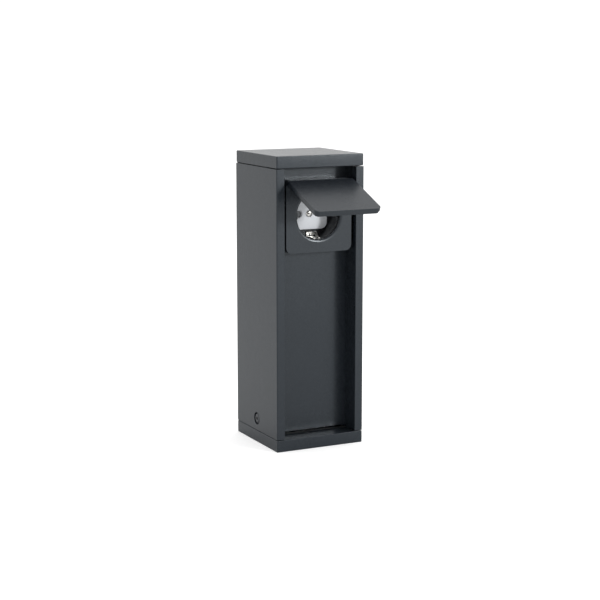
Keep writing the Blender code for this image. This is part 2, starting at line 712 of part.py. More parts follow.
def make_cable_gland():
    low = BASE_HEIGHT + BEARING_GAP
    flange_top = low + GLAND_FLANGE
    thread_top = flange_top + 8.0
    centre = (0, GLAND_Y, 0)
    bore = CABLE_RADIUS + 0.6
    seal_outer = GLAND_THREAD_RADIUS - 1.7
    tube = [
        (bore, 2.0),
        (GLAND_THREAD_RADIUS, 2.0),
        (GLAND_THREAD_RADIUS, thread_top),
        (seal_outer, thread_top),
        (seal_outer, flange_top + 2.0),
        (bore, flange_top + 2.0),
    ]
    body = turned("gland_body", tube, centre, (0, 0, 1), BLACK_PLASTIC)
    flange = prism("gland_flange", circle(GLAND_HEX_RADIUS, 6, centre[:2]), "Z", low, flange_top)
    cut(flange, hole("gland_flange_bore", (0, GLAND_Y, low), "Z", GLAND_THREAD_RADIUS - 1.0, 30))
    fuse(body, flange)
    seal = [
        (CABLE_RADIUS, flange_top + 2.3),
        (seal_outer - BEARING_GAP, flange_top + 2.3),
        (seal_outer - BEARING_GAP, thread_top + 1.0),
        (CABLE_RADIUS, thread_top + 1.0),
    ]
    turned("gland_seal", seal, centre, (0, 0, 1), RUBBER)
    nut_top = thread_top + 5.0
    nut = [
        (GLAND_THREAD_RADIUS + BEARING_GAP, flange_top + 0.5),
        (GLAND_HEX_RADIUS - 2.0, flange_top + 0.5),
        (GLAND_HEX_RADIUS - 2.0, thread_top),
        (bore + 1.8, nut_top),
        (bore, nut_top),
        (bore, thread_top + 2.0),
        (GLAND_THREAD_RADIUS + BEARING_GAP, thread_top + 0.5),
    ]
    turned("gland_nut", nut, centre, (0, 0, 1), BLACK_PLASTIC)


# ---------------------------------------------------------------- socket


def boss_places():
    return [(x, SOCKET_Z + z) for x in (-BOSS_PLACE, BOSS_PLACE) for z in (-BOSS_PLACE, BOSS_PLACE)]


def ear_outline():
    """Section of a hinge ear: a neck out of the frame's face and a round end about the pin."""
    neck = math.degrees(math.asin(EAR_NECK_HALF / EAR_RADIUS))
    root = FRAME_FRONT + 1.0
    round_end = arc((HINGE_Y, HINGE_Z), EAR_RADIUS, neck, 360 - neck, 14)
    return [(root, HINGE_Z + EAR_NECK_HALF), *round_end, (root, HINGE_Z - EAR_NECK_HALF)]


def make_socket_frame():
    outline = square_on_socket(FRAME_HALF, FRAME_CORNER, 6)
    frame = prism("socket_frame", outline, "Y", FRAME_FRONT, FRAME_BACK, FLAP_PLASTIC)
    cavity = square_on_socket(FRAME_HALF - FRAME_SIDE_WALL, FRAME_CORNER - FRAME_SIDE_WALL)
    wall_back = FRAME_FRONT + FRAME_FRONT_WALL
    cut(frame, prism("frame_cavity", cavity, "Y", wall_back, FRAME_BACK + 5))
    centre = (0, 0, SOCKET_Z)
    collar = [
        (COLLAR_INNER, wall_back - 0.5),
        (COLLAR_INNER + COLLAR_WALL, wall_back - 0.5),
        (COLLAR_INNER + COLLAR_WALL, FRAME_BACK - 0.1),
        (COLLAR_INNER, FRAME_BACK - 0.1),
    ]
    fuse(frame, turned("frame_collar", collar, centre, (0, 1, 0), sides=48))
    for x, z in boss_places():
        outline = circle(BOSS_RADIUS, 14, (x, z))
        fuse(frame, prism("frame_boss", outline, "Y", wall_back - 0.8, FRAME_BACK - 0.2))
        length = FRAME_BACK - wall_back
        cut(frame, hole("boss_bore", (x, FRAME_BACK, z), "Y", SCREW_HOLE_RADIUS, 2 * length))
    opening = RECESS_RADIUS + 0.3
    slope = OPENING_CHAMFER / OPENING_CHAMFER_DEPTH
    mouth = [
        (0, FRAME_FRONT - 1.0),
        (opening + OPENING_CHAMFER + slope, FRAME_FRONT - 1.0),
        (opening, FRAME_FRONT + OPENING_CHAMFER_DEPTH),
        (opening, wall_back + 0.5),
        (0, wall_back + 0.5),
    ]
    cut(frame, turned("frame_mouth", mouth, centre, (0, 1, 0), sides=64))
    for side in (-1, 1):
        low, high = sorted((side * (EAR_CENTRE - EAR_WIDTH / 2), side * (EAR_CENTRE + EAR_WIDTH / 2)))
        fuse(frame, prism("hinge_ear", ear_outline(), "X", low, high))
    cut(
        frame,
        hole("pin_bore", (0, HINGE_Y, HINGE_Z), "X", PIN_BORE, PILLAR_WIDTH),
        hole("spring_leg_hole", (spring_end_x(-1), FRAME_FRONT, HINGE_Z - SPRING_RADIUS), "Y",
             SPRING_WIRE + BEARING_GAP, 12, 12),
    )


def make_frame_gasket():
    outer = FRAME_HALF - FRAME_SIDE_WALL / 2 + 0.7
    inner = outer - 1.4
    back = PANEL_FRONT - SNUG_GAP
    outlines = (square_on_socket(outer, FRAME_CORNER - 0.5), square_on_socket(inner, FRAME_CORNER - 1.9))
    ring("frame_gasket", *outlines, "Y", back - FRAME_GASKET, back, RUBBER)


def make_socket_cup():
    skirt_back = HOUSING_FRONT + CUP_SKIRT
    profile = [
        (0, FLOOR_BACK),
        (RECESS_RADIUS, FLOOR_BACK),
        (RECESS_RADIUS, skirt_back),
        (CUP_OUTER, skirt_back),
        (CUP_OUTER, CUP_FRONT),
        (RECESS_RADIUS, CUP_FRONT),
        (RECESS_RADIUS, FLOOR_FRONT),
        (0, FLOOR_FRONT),
    ]
    cup = turned("socket_cup", profile, (0, 0, SOCKET_Z), (0, 1, 0), BLACK_PLASTIC, 48)
    flange = prism("cup_flange", square_on_socket(FLANGE_HALF, 3.0), "Y", FLANGE_FRONT, FLANGE_BACK)
    bore = (RECESS_RADIUS + CUP_OUTER) / 2
    cut(flange, hole("cup_flange_bore", (0, FLANGE_FRONT, SOCKET_Z), "Y", bore, 20, 48))
    for x, z in boss_places():
        cut(flange, hole("flange_hole", (x, FLANGE_FRONT, z), "Y", SCREW_HOLE_RADIUS, 20))
    fuse(cup, flange)
    for side in (-1, 1):
        ends = sorted((side * (RECESS_RADIUS - GUIDE_RIB_HEIGHT), side * bore))
        low = (ends[0], CUP_FRONT + 1.5, SOCKET_Z - GUIDE_RIB_WIDTH / 2)
        high = (ends[1], FLOOR_FRONT + 0.6, SOCKET_Z + GUIDE_RIB_WIDTH / 2)
        fuse(cup, block("guide_rib", low, high))
        slot_z = SOCKET_Z + side * STRAP_FOOT_RADIUS
        half = STRAP_THICKNESS / 2 + BEARING_GAP
        slot_low = (-STRAP_WIDTH / 2 - BEARING_GAP, FLOOR_FRONT - 1, slot_z - half)
        slot_high = (STRAP_WIDTH / 2 + BEARING_GAP, FLOOR_BACK + 1, slot_z + half)
        cut(cup, block("strap_slot", slot_low, slot_high))
    window = (BLOCK_HALF_WIDTH + BEARING_GAP, BLOCK_HALF_HEIGHT + BEARING_GAP)
    outline = rectangle((-window[0], SOCKET_Z - window[1]), (window[0], SOCKET_Z + window[1]), BLOCK_CORNER)
    cut(cup, prism("block_window", outline, "Y", FLOOR_FRONT - 1, FLOOR_BACK + 1))


def make_contact_block():
    half = (BLOCK_HALF_WIDTH, BLOCK_HALF_HEIGHT)
    outline = rectangle((-half[0], SOCKET_Z - half[1]), (half[0], SOCKET_Z + half[1]), BLOCK_CORNER, 5)
    body = prism("contact_block", outline, "Y", BLOCK_FRONT, BLOCK_REAR, GREY_PLASTIC)
    centre = (0, SOCKET_Z)
    skin_back = BLOCK_FRONT + BLOCK_SKIN
    circles = (circle(SHUTTER_POCKET, 28, centre), circle(SHUTTER_BOSS_RADIUS, 28, centre))
    cut(body, ring("shutter_pocket", *circles, "Y", skin_back, BLOCK_REAR + 1))
    for side in (-1, 1):
        x = side * PIN_SPACING / 2
        rim = PIN_HOLE_RADIUS + PIN_HOLE_COUNTERSINK
        mouth = [
            (0, BLOCK_FRONT - 1),
            (rim + 1, BLOCK_FRONT - 1),
            (PIN_HOLE_RADIUS, BLOCK_FRONT + PIN_HOLE_COUNTERSINK),
            (PIN_HOLE_RADIUS, skin_back + 0.5),
            (0, skin_back + 0.5),
        ]
        cut(body, turned("pin_hole", mouth, (x, 0, SOCKET_Z), (0, 1, 0), sides=24))
    cut(
        body,
        hole("centre_hole", (0, BLOCK_FRONT, SOCKET_Z), "Y", M3_RADIUS + SNUG_GAP, 20),
        hole("centre_dish", (0, BLOCK_FRONT, SOCKET_Z), "Y", CENTRE_HEAD_RADIUS + 0.5, 2 * CENTRE_DISH, 28),
    )
    screw("centre_screw", (0, BLOCK_FRONT + CENTRE_DISH - SNUG_GAP, SOCKET_Z), (0, -1, 0),
          (CENTRE_HEAD_RADIUS, 1.6), (M3_RADIUS, 14.0), NICKEL)


def make_pin_shutter():
    """Turning shutter: two lobes cover the pin holes until the plug's pins push them round."""
    centre = (0.0, 0.0)
    reach = SHUTTER_POCKET - BEARING_GAP
    tip = math.degrees(math.asin(SHUTTER_HALF_WIDTH / reach))
    hub = math.degrees(math.asin(SHUTTER_HALF_WIDTH / SHUTTER_HUB_RADIUS))
    outline = []
    for start in (0, 180):
        outline += arc(centre, reach, start - tip, start + tip, 8)
        outline += arc(centre, SHUTTER_HUB_RADIUS, start + hub, start + 180 - hub, 8)
    shutter = prism("pin_shutter", outline, "Y", 0, SHUTTER_THICKNESS, GREY_PLASTIC)
    bore = hole("shutter_bore", (0, 0, 0), "Y", SHUTTER_BOSS_RADIUS + SNUG_GAP, 20, 24)
    cut(shutter, bore)
    for obj in (shutter, bore):
        obj.location = Vector((0, SHUTTER_FRONT, SOCKET_Z)) * MM


def strap_path(side):
    """Half of the strap in Y and Z, from behind the cup's floor to its front end. side is 1 for the top."""
    run = [
        (STRAP_BACK, 0.0),
        (STRAP_BACK, STRAP_FOOT_RADIUS - 0.8),
        (STRAP_BACK - 0.8, STRAP_FOOT_RADIUS),
        (FLOOR_FRONT - 0.2, STRAP_FOOT_RADIUS),
        (FLOOR_FRONT - 0.7, STRAP_FOOT_RADIUS + 0.6),
        (FLOOR_FRONT - 0.7, STRAP_WALL_RADIUS - 0.8),
        (FLOOR_FRONT - 1.5, STRAP_WALL_RADIUS),
        (CUP_FRONT + 0.9, STRAP_WALL_RADIUS),
    ]
    return [(y, SOCKET_Z + side * radius) for y, radius in run]


def tongue_path(side):
    """Sprung tongue: it folds in at the strap's front end and leans back towards the cup's middle."""
    run = [
        (CUP_FRONT + 3.0, STRAP_WALL_RADIUS),
        (CUP_FRONT + 0.8, STRAP_WALL_RADIUS - 0.1),
        (CUP_FRONT + 0.1, STRAP_WALL_RADIUS - 0.8),
        (CUP_FRONT + 0.7, STRAP_WALL_RADIUS - 1.7),
        (CUP_FRONT + 4.2, STRAP_WALL_RADIUS - TONGUE_REACH),
        (CUP_FRONT + 5.2, STRAP_WALL_RADIUS - TONGUE_REACH),
        (CUP_FRONT + 9.0, STRAP_WALL_RADIUS - 2.2),
    ]
    return [(y, SOCKET_Z + side * radius) for y, radius in run]


def make_earth_strap():
    half = STRAP_WIDTH / 2
    path = strap_path(-1)[::-1] + strap_path(1)[1:]
    strap = bent_strip("earth_strap", path, STRAP_THICKNESS, -half, half, NICKEL)
    tongue = TONGUE_WIDTH / 2
    for side in (-1, 1):
        strip = bent_strip("tongue", tongue_path(side), STRAP_THICKNESS * 0.9, -tongue, tongue)
        fuse(strap, strip)
        near = SOCKET_Z + side * (STRAP_FOOT_RADIUS + 1.4)
        far = SOCKET_Z + side * (STRAP_WALL_RADIUS + 2)
        low = (-TONGUE_SLOT / 2, FLOOR_FRONT - TONGUE_SLOT_LENGTH, min(near, far))
        high = (TONGUE_SLOT / 2, FLOOR_FRONT + 0.3, max(near, far))
        cut(strap, block("strap_split", low, high))
    cut(strap, hole("strap_hole", (0, STRAP_BACK, SOCKET_Z), "Y", M3_RADIUS + 0.4, 6))
    tail_z = SOCKET_Z - EARTH_TERMINAL_DROP
    fuse(strap, block("strap_tail", (-2.5, STRAP_BACK, tail_z - 0.4), (2.5, TERMINAL_Y - 2.5, tail_z + 0.4)))
    fuse(strap, terminal_body("earth_terminal", 0, tail_z))
    for tool in terminal_holes("earth_terminal", 0, tail_z):
        cut(strap, tool)
    terminal_screw("earth_contact_screw", 0, tail_z)


def terminal_body(name, x, z):
    low = (x - TERMINAL_HALF[0], TERMINAL_Y - TERMINAL_HALF[1], z - TERMINAL_HALF[2])
    high = (x + TERMINAL_HALF[0], TERMINAL_Y + TERMINAL_HALF[1], z + TERMINAL_HALF[2])
    return block(name, low, high)


def terminal_holes(name, x, z):
    """Blind wire hole from below and the thread that meets it from behind."""
    bottom = (x, TERMINAL_Y, z - TERMINAL_HALF[2])
    rear = (x, TERMINAL_Y + TERMINAL_HALF[1], z)
    wire_length = 4 * TERMINAL_HALF[2] - 2.4
    return (
        hole(name + "_wire", bottom, "Z", WIRE_RADIUS + 0.4, wire_length),
        hole(name + "_thread", rear, "Y", M2_RADIUS + SNUG_GAP, 2 * TERMINAL_HALF[1]),
    )


def terminal_screw(name, x, z):
    seat = (x, TERMINAL_Y + TERMINAL_HALF[1] + SNUG_GAP, z)
    screw(name, seat, (0, 1, 0), (2.2, 1.3), (M2_RADIUS, 1.9), ZINC_STEEL)


def make_pin_contacts():
    for side, word in ((-1, "live"), (1, "neutral")):
        x = side * PIN_SPACING / 2
        body = terminal_body(f"{word}_contact", x, SOCKET_Z)
        body.hide_render = False
        body.display_type = "TEXTURED"
        paint(body, BRASS)
        sleeve = [
            (PIN_GRIP_BORE, HOUSING_FRONT + 0.3),
            (PIN_GRIP_OUTER, HOUSING_FRONT + 0.3),
            (PIN_GRIP_OUTER, TERMINAL_Y - TERMINAL_HALF[1] + 0.6),
            (PIN_GRIP_BORE, TERMINAL_Y - TERMINAL_HALF[1] + 0.6),
        ]
        fuse(body, turned(f"{word}_sleeve", sleeve, (x, 0, SOCKET_Z), (0, 1, 0), sides=24))
        for tool in terminal_holes(f"{word}_contact", x, SOCKET_Z):
            cut(body, tool)
        reach = PIN_GRIP_OUTER + 1
        slit_low = (x - reach, HOUSING_FRONT - 1, SOCKET_Z - 0.35)
        slit_high = (x + reach, HOUSING_FRONT + 8, SOCKET_Z + 0.35)
        cut(body, block(f"{word}_slit", slit_low, slit_high))
        terminal_screw(f"{word}_contact_screw", x, SOCKET_Z)


def make_socket_housing():
    inner = HOUSING_RADIUS - HOUSING_WALL
    profile = [
        (0, HOUSING_BACK),
        (HOUSING_RADIUS, HOUSING_BACK),
        (HOUSING_RADIUS, HOUSING_FRONT),
        (inner, HOUSING_FRONT),
        (inner, HOUSING_BACK - HOUSING_WALL),
        (0, HOUSING_BACK - HOUSING_WALL),
    ]
    housing = turned("socket_housing", profile, (0, 0, SOCKET_Z), (0, 1, 0), BLACK_PLASTIC, 36)
    boss = prism("housing_boss", circle(3.2, 24, (0, SOCKET_Z)), "Y", HOUSING_FRONT + 0.4, HOUSING_BACK - 0.5)
    fuse(housing, boss)
    cut(housing, hole("housing_thread", (0, HOUSING_FRONT, SOCKET_Z), "Y", M3_RADIUS + SNUG_GAP, 2 * 15.0))
    for x in (-PIN_SPACING / 2, 0, PIN_SPACING / 2):
        place = (x, TERMINAL_Y, SOCKET_Z - HOUSING_RADIUS)
        cut(housing, hole("wire_exit", place, "Z", WIRE_RADIUS + 0.4, HOUSING_RADIUS, 18))


def make_socket():
    make_socket_frame()
    make_frame_gasket()
    make_socket_cup()
    make_contact_block()
    make_pin_shutter()
    make_earth_strap()
    make_pin_contacts()
    make_socket_housing()
    seat = FLANGE_BACK + SNUG_GAP
    length = seat - (FRAME_FRONT + FRAME_FRONT_WALL + 1.0)
    for i, (x, z) in enumerate(boss_places()):
        screw(f"frame_screw_{i + 1}", (x, seat, z), (0, 1, 0), (2.8, 1.8), (M3_RADIUS, length), ZINC_STEEL)


# ---------------------------------------------------------------- flap


def spring_end_x(side):
    return side * SPRING_TURNS * SPRING_PITCH / 2


def keyhole(radius, start, end):
    """Round hole about the hinge axis, open outwards between two angles."""
    outside = 2 * BARREL_RADIUS
    return arc((0, 0), outside, start, end, 8) + arc((0, 0), radius, end, start + 360, 16)


def make_flap(hinge):
    """The flap hangs down from the hinge empty when closed. Its places are measured from the hinge axis."""
    outer = -BARREL_RADIUS
    plate_back = outer + FLAP_PLATE
    drop = math.degrees(math.acos(plate_back / BARREL_RADIUS))
    side_view = arc((0, 0), BARREL_RADIUS, 180, -drop, 22)
    side_view += [(plate_back, -FLAP_LENGTH), (outer, -FLAP_LENGTH)]
    flap = prism("flap", side_view, "X", -FLAP_HALF, FLAP_HALF, FLAP_PLASTIC)
    top = BARREL_RADIUS + 5
    front_view = [
        (-FLAP_HALF - 1, top, 0),
        (-FLAP_HALF - 1, -FLAP_LENGTH + FLAP_CORNER, 0),
        (-FLAP_HALF, -FLAP_LENGTH + FLAP_CORNER, 0),
        (-FLAP_HALF, -FLAP_LENGTH, FLAP_CORNER * 0.98),
        (FLAP_HALF, -FLAP_LENGTH, FLAP_CORNER * 0.98),
        (FLAP_HALF, -FLAP_LENGTH + FLAP_CORNER, 0),
        (FLAP_HALF + 1, -FLAP_LENGTH + FLAP_CORNER, 0),
        (FLAP_HALF + 1, top, 0),
    ]
    trim = prism("flap_corners", rounded(front_view, 5), "Y", -10, 10)
    lip_low = (-FLAP_HALF + FLAP_LIP_INSET, -FLAP_LENGTH + FLAP_LIP_INSET)
    lip_high = (FLAP_HALF - FLAP_LIP_INSET, -0.8)
    lip = prism("flap_lip", rectangle(lip_low, lip_high, FLAP_CORNER - FLAP_LIP_INSET), "Y",
                plate_back - 0.4, BARREL_RADIUS - 0.02)
    pocket_low, pocket_high = flap_pocket()
    pocket = prism("flap_pocket", rectangle(pocket_low, pocket_high, FLAP_POCKET_CORNER), "Y",
                   outer + FLAP_SKIN, BARREL_RADIUS + 1)
    neck = math.degrees(math.asin(EAR_NECK_HALF / EAR_POCKET_RADIUS)) + NECK_MARGIN_DEG
    ear_room = keyhole(EAR_POCKET_RADIUS, -neck, FLAP_FULLY_OPEN_DEG + neck)
    tools = [trim, lip, pocket]
    for side in (-1, 1):
        reach = EAR_WIDTH / 2 + EAR_SIDE_GAP
        low, high = sorted((side * (EAR_CENTRE - reach), side * (EAR_CENTRE + reach)))
        tools.append(prism("ear_room", ear_room, "X", low, high))
    spring_half = spring_end_x(1) + 0.7
    spring_room = keyhole(EAR_POCKET_RADIUS, *SPRING_ROOM_DEG)
    tools.append(prism("spring_room", spring_room, "X", -spring_half, spring_half))
    leg_low = (spring_end_x(1) - 0.6, plate_back, -6)
    leg_high = (spring_end_x(1) + 0.6, BARREL_RADIUS - SPRING_LEG_COVER, -0.5)
    tools.append(block("spring_leg_room", leg_low, leg_high))
    tools.append(prism("flap_pin_bore", circle(PIN_BORE, 20), "X", -FLAP_HALF + 1.0, FLAP_HALF + 1))
    combine(flap, "INTERSECT", [trim])
    fuse(flap, lip)
    cut(flap, *tools[2:])
    for obj in (flap, *tools):
        obj.parent = hinge


def flap_pocket():
    """Low and high corners, in X and Z from the hinge axis, of the hollow in the flap's back."""
    wall = FLAP_LIP_INSET + FLAP_LIP_WALL
    return (-FLAP_HALF + wall, -FLAP_LENGTH + wall), (FLAP_HALF - wall, -BARREL_RADIUS - 1.2)


def make_flap_seal(hinge):
    low, high = flap_pocket()
    outlines = []
    for inset in (BEARING_GAP, BEARING_GAP + SEAL_WIDTH):
        shift = Vector((inset, inset))
        outlines.append(rectangle(Vector(low) + shift, Vector(high) - shift, FLAP_POCKET_CORNER - inset))
    floor = -BARREL_RADIUS + FLAP_SKIN
    seal = ring("flap_seal", *outlines, "Y", floor + SNUG_GAP, BARREL_RADIUS - 0.1, RUBBER)
    seal.parent = hinge


def make_flap_spring():
    """Torsion spring on the hinge pin, at rest: one leg in the frame, the other along the flap's inside."""
    start_angle = -90.0
    turn = 360.0 * SPRING_TURNS + start_angle + FLAP_OPEN_DEG
    steps = 9 * SPRING_TURNS
    x0 = spring_end_x(-1)
    x1 = spring_end_x(1)
    route = [(x0, FRAME_FRONT + 2.0, HINGE_Z - SPRING_RADIUS)]
    for i in range(steps + 1):
        share = i / steps
        angle = math.radians(start_angle - turn * share)
        across = SPRING_RADIUS * math.cos(angle)
        up = SPRING_RADIUS * math.sin(angle)
        route.append((x0 + (x1 - x0) * share, HINGE_Y + across, HINGE_Z + up))
    lean = math.radians(FLAP_OPEN_DEG)
    last = Vector(route[-1])
    route.append(last + Vector((0, -math.sin(lean), -math.cos(lean))) * SPRING_LEG)
    wire("flap_spring", route, SPRING_WIRE, STAINLESS, 1)


def make_flap_parts():
    hinge = pivot("flap_hinge", (0, HINGE_Y, HINGE_Z), (-math.radians(FLAP_OPEN_DEG), 0, 0))
    make_flap(hinge)
    make_flap_seal(hinge)
    pin = circle(HINGE_PIN_RADIUS, 16, (HINGE_Y, HINGE_Z))
    prism("hinge_pin", pin, "X", -FLAP_HALF + 1.2, FLAP_HALF - 0.2, STAINLESS)
    make_flap_spring()


# ---------------------------------------------------------------- wiring


def make_terminal_block():
    half = 1.5 * POLE_PITCH
    back = TERMINAL_BLOCK_FRONT + BLOCK_DEPTH
    low = (-half, TERMINAL_BLOCK_FRONT, BLOCK_BASE)
    body = block("terminal_block", low, (half, back, BLOCK_TOP), WHITE_PLASTIC)
    for x, word in zip((-POLE_PITCH, 0, POLE_PITCH), ("live", "earth", "neutral")):
        room = BLOCK_HEIGHT - 3.0
        cut(
            body,
            hole("tube_room", (x, POLE_Y, BLOCK_MIDDLE), "Z", TUBE_RADIUS + BEARING_GAP, room),
            hole("wire_way", (x, POLE_Y, BLOCK_MIDDLE), "Z", TUBE_BORE + 0.2, 2 * BLOCK_HEIGHT, 12),
        )
        tube_half = room / 2 - BEARING_GAP
        circles = [circle(radius, 14, (x, POLE_Y)) for radius in (TUBE_RADIUS, TUBE_BORE)]
        tube = ring(f"{word}_tube", *circles, "Z", BLOCK_MIDDLE - tube_half, BLOCK_MIDDLE + tube_half, BRASS)
        for level, place in ((-3.0, "lower"), (3.0, "upper")):
            z = BLOCK_MIDDLE + level
            cut(body, hole("block_screw_way", (x, back, z), "Y", 1.75, 2 * (back - POLE_Y) - 3, 12))
            cut(tube, hole("tube_thread", (x, POLE_Y + TUBE_RADIUS, z), "Y", M2_RADIUS + SNUG_GAP, 4.0, 10))
            seat = (x, back - CLAMP_SCREW_DEPTH, z)
            screw(f"{word}_{place}_screw", seat, (0, 1, 0), (1.5, 0.9), (M2_RADIUS, 2.7), ZINC_STEEL)
    for side, word in ((-1, "left"), (1, "right")):
        x = side * POLE_PITCH / 2
        cut(body, hole("fixing_way", (x, back, BLOCK_MIDDLE), "Y", M2_HOLE, 4 * BLOCK_DEPTH, 12))
        screw(f"block_screw_{word}", (x, back + SNUG_GAP, BLOCK_MIDDLE), (0, 1, 0), (2.2, 1.3),
              (M2_RADIUS, back - TAB_FRONT + 1.5), ZINC_STEEL)


def make_inner_wires():
    drop = HOUSING_RADIUS
    tops = {
        "live": (-PIN_SPACING / 2, SOCKET_Z - 1.0),
        "neutral": (PIN_SPACING / 2, SOCKET_Z - 1.0),
        "earth": (0, SOCKET_Z - EARTH_TERMINAL_DROP - 1.0),
    }
    poles = {"live": -POLE_PITCH, "neutral": POLE_PITCH, "earth": 0}
    colours = {"live": BROWN_WIRE, "neutral": BLUE_WIRE, "earth": EARTH_WIRE}
    clear = SOCKET_Z - drop - 4.0
    span = clear - BLOCK_TOP
    for word, (x, top) in tops.items():
        pole = poles[word]
        sway = 1.35 * x if x else 2.0
        points = [
            (x, TERMINAL_Y, top),
            (x, TERMINAL_Y, clear + 4.0),
            (x, TERMINAL_Y, clear),
            (sway, TERMINAL_Y + 4.0, clear - 0.35 * span),
            (sway, POLE_Y + 4.0, BLOCK_TOP + 0.35 * span),
            (pole, POLE_Y, BLOCK_TOP + 9.0),
            (pole, POLE_Y, BLOCK_TOP + 4.0),
            (pole, POLE_Y, BLOCK_TOP - 3.0),
        ]
        wire(f"{word}_wire", smooth_route(points), WIRE_RADIUS, colours[word], 1)


def make_earth_link():
    centre = (EARTH_SCREW_X, 0.0)
    low = BRACKET_TOP + SNUG_GAP
    circles = [circle(radius, 24, centre) for radius in (LUG_RADIUS, M4_HOLE)]
    plate = ring("earth_lug", *circles, "Z", low, low + LUG_SHEET, NICKEL)
    barrel_z = low + BARREL_LIFT
    start = EARTH_SCREW_X + 3.4
    fuse(plate, block("lug_neck", (start, -1.8, low + 0.05), (start + 2.5, 1.8, low + LUG_SHEET - 0.05)))
    barrel = prism("lug_barrel", circle(LUG_BARREL_RADIUS, 20, (0, barrel_z)), "X", start + 1.4, start + 7.0)
    fuse(plate, barrel)
    cut(plate, hole("lug_bore", (start + 7.0, 0, barrel_z), "X", WIRE_RADIUS + 0.25, 7.0, 16))
    screw("earth_screw", (*centre, low + LUG_SHEET + SNUG_GAP), (0, 0, 1), (3.2, 2.0),
          (M4_RADIUS, FOOT_THREAD_DEPTH + 2.2), BRASS)
    end = start + 4.2
    points = [
        (end, 0, barrel_z),
        (end + 5.0, 0, barrel_z),
        (end + 9.0, 0.4, barrel_z + 2.5),
        (end + 8.0, 1.2, barrel_z + 9.0),
        (1.2, POLE_Y, BLOCK_BASE - 6.0),
        (0, POLE_Y, BLOCK_BASE - 2.5),
        (0, POLE_Y, BLOCK_BASE + 3.0),
    ]
    wire("earth_link", smooth_route(points, 4), WIRE_RADIUS, EARTH_WIRE, 1)


def main():
    for obj in list(bpy.data.objects):
        bpy.data.objects.remove(obj)
    make_post()
    make_base_fixings()
    make_cable_gland()
    make_socket()
    make_flap_parts()
    make_terminal_block()
    make_inner_wires()
    make_earth_link()


main()
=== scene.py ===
"""Looks for the outdoor power pillar: finishes, rounded edges, fasteners, wires and a plain studio."""

import json
import math

import bmesh
import bpy
from bpy.props import FloatProperty, FloatVectorProperty, IntProperty, PointerProperty
from mathutils import Matrix, Vector


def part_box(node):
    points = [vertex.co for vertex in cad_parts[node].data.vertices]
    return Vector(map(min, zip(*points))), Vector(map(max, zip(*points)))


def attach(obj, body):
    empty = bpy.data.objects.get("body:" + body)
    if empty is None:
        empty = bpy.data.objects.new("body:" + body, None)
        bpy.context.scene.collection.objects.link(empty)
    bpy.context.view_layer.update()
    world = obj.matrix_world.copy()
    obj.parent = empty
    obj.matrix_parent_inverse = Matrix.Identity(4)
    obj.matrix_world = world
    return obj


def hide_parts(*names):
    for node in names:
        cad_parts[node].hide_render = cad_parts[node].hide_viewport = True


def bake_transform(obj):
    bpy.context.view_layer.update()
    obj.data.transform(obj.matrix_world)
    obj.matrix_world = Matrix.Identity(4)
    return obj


bl_info = {
    "name": "Power pillar looks",
    "version": (1, 0, 0),
    "blender": (4, 5, 0),
    "location": "3D view > Sidebar > Pillar",
    "description": "Finishes and detailed pieces for an outdoor power pillar",
    "category": "Object",
}

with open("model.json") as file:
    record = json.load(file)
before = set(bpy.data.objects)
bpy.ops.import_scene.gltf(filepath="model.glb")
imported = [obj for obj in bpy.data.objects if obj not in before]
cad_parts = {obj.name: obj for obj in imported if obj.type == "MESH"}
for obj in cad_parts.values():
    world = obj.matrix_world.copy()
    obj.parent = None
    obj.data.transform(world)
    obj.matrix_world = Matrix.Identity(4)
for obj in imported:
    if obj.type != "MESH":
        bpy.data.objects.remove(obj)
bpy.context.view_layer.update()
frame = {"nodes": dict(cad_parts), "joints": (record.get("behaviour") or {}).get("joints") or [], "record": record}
NODES = frame["nodes"]

MM = 0.001
SAME_POINT = 0.002 * MM  # points nearer than this are one point
FLAT_ANGLE_DEG = 0.5  # faces that meet below this angle are one face
MIX_FACTOR, MIX_FIRST, MIX_SECOND, MIX_RESULT = 0, 6, 7, 2  # the colour sockets of a Mix node
PILLAR = "pillar"
FLAP = "flap"
SHUTTER = "shutter"


# ---------------------------------------------------------------- settings


class PillarFinishSettings(bpy.types.PropertyGroup):
    """Colours and roughness of the finishes that show most."""

    coat_colour: FloatVectorProperty(
        name="Powder coat", description="Colour of the coated post", subtype="COLOR",
        size=3, min=0, max=1, default=(0.0085, 0.0112, 0.0150),
    )
    coat_roughness: FloatProperty(
        name="Coat roughness", description="0 is glossy and 1 is matt", subtype="FACTOR",
        min=0, max=1, default=0.27,
    )
    plastic_colour: FloatVectorProperty(
        name="Flap plastic", description="Colour of the flap and the socket's frame", subtype="COLOR",
        size=3, min=0, max=1, default=(0.0090, 0.0114, 0.0150),
    )
    insert_colour: FloatVectorProperty(
        name="Contact block", description="Colour of the light grey insert", subtype="COLOR",
        size=3, min=0, max=1, default=(0.76, 0.78, 0.81),
    )


class PillarEdgeSettings(bpy.types.PropertyGroup):
    """How far edges are rounded."""

    metal_edge: FloatProperty(
        name="Metal edge", description="Rounding of the coated sheet's edges", subtype="DISTANCE",
        unit="LENGTH", min=0, max=0.002, default=0.00035,
    )
    plastic_edge: FloatProperty(
        name="Plastic edge", description="Rounding of the moulded pieces' edges", subtype="DISTANCE",
        unit="LENGTH", min=0, max=0.002, default=0.0003,
    )
    edge_steps: IntProperty(
        name="Edge steps", description="Faces across a rounded edge", min=1, max=6, default=3,
    )


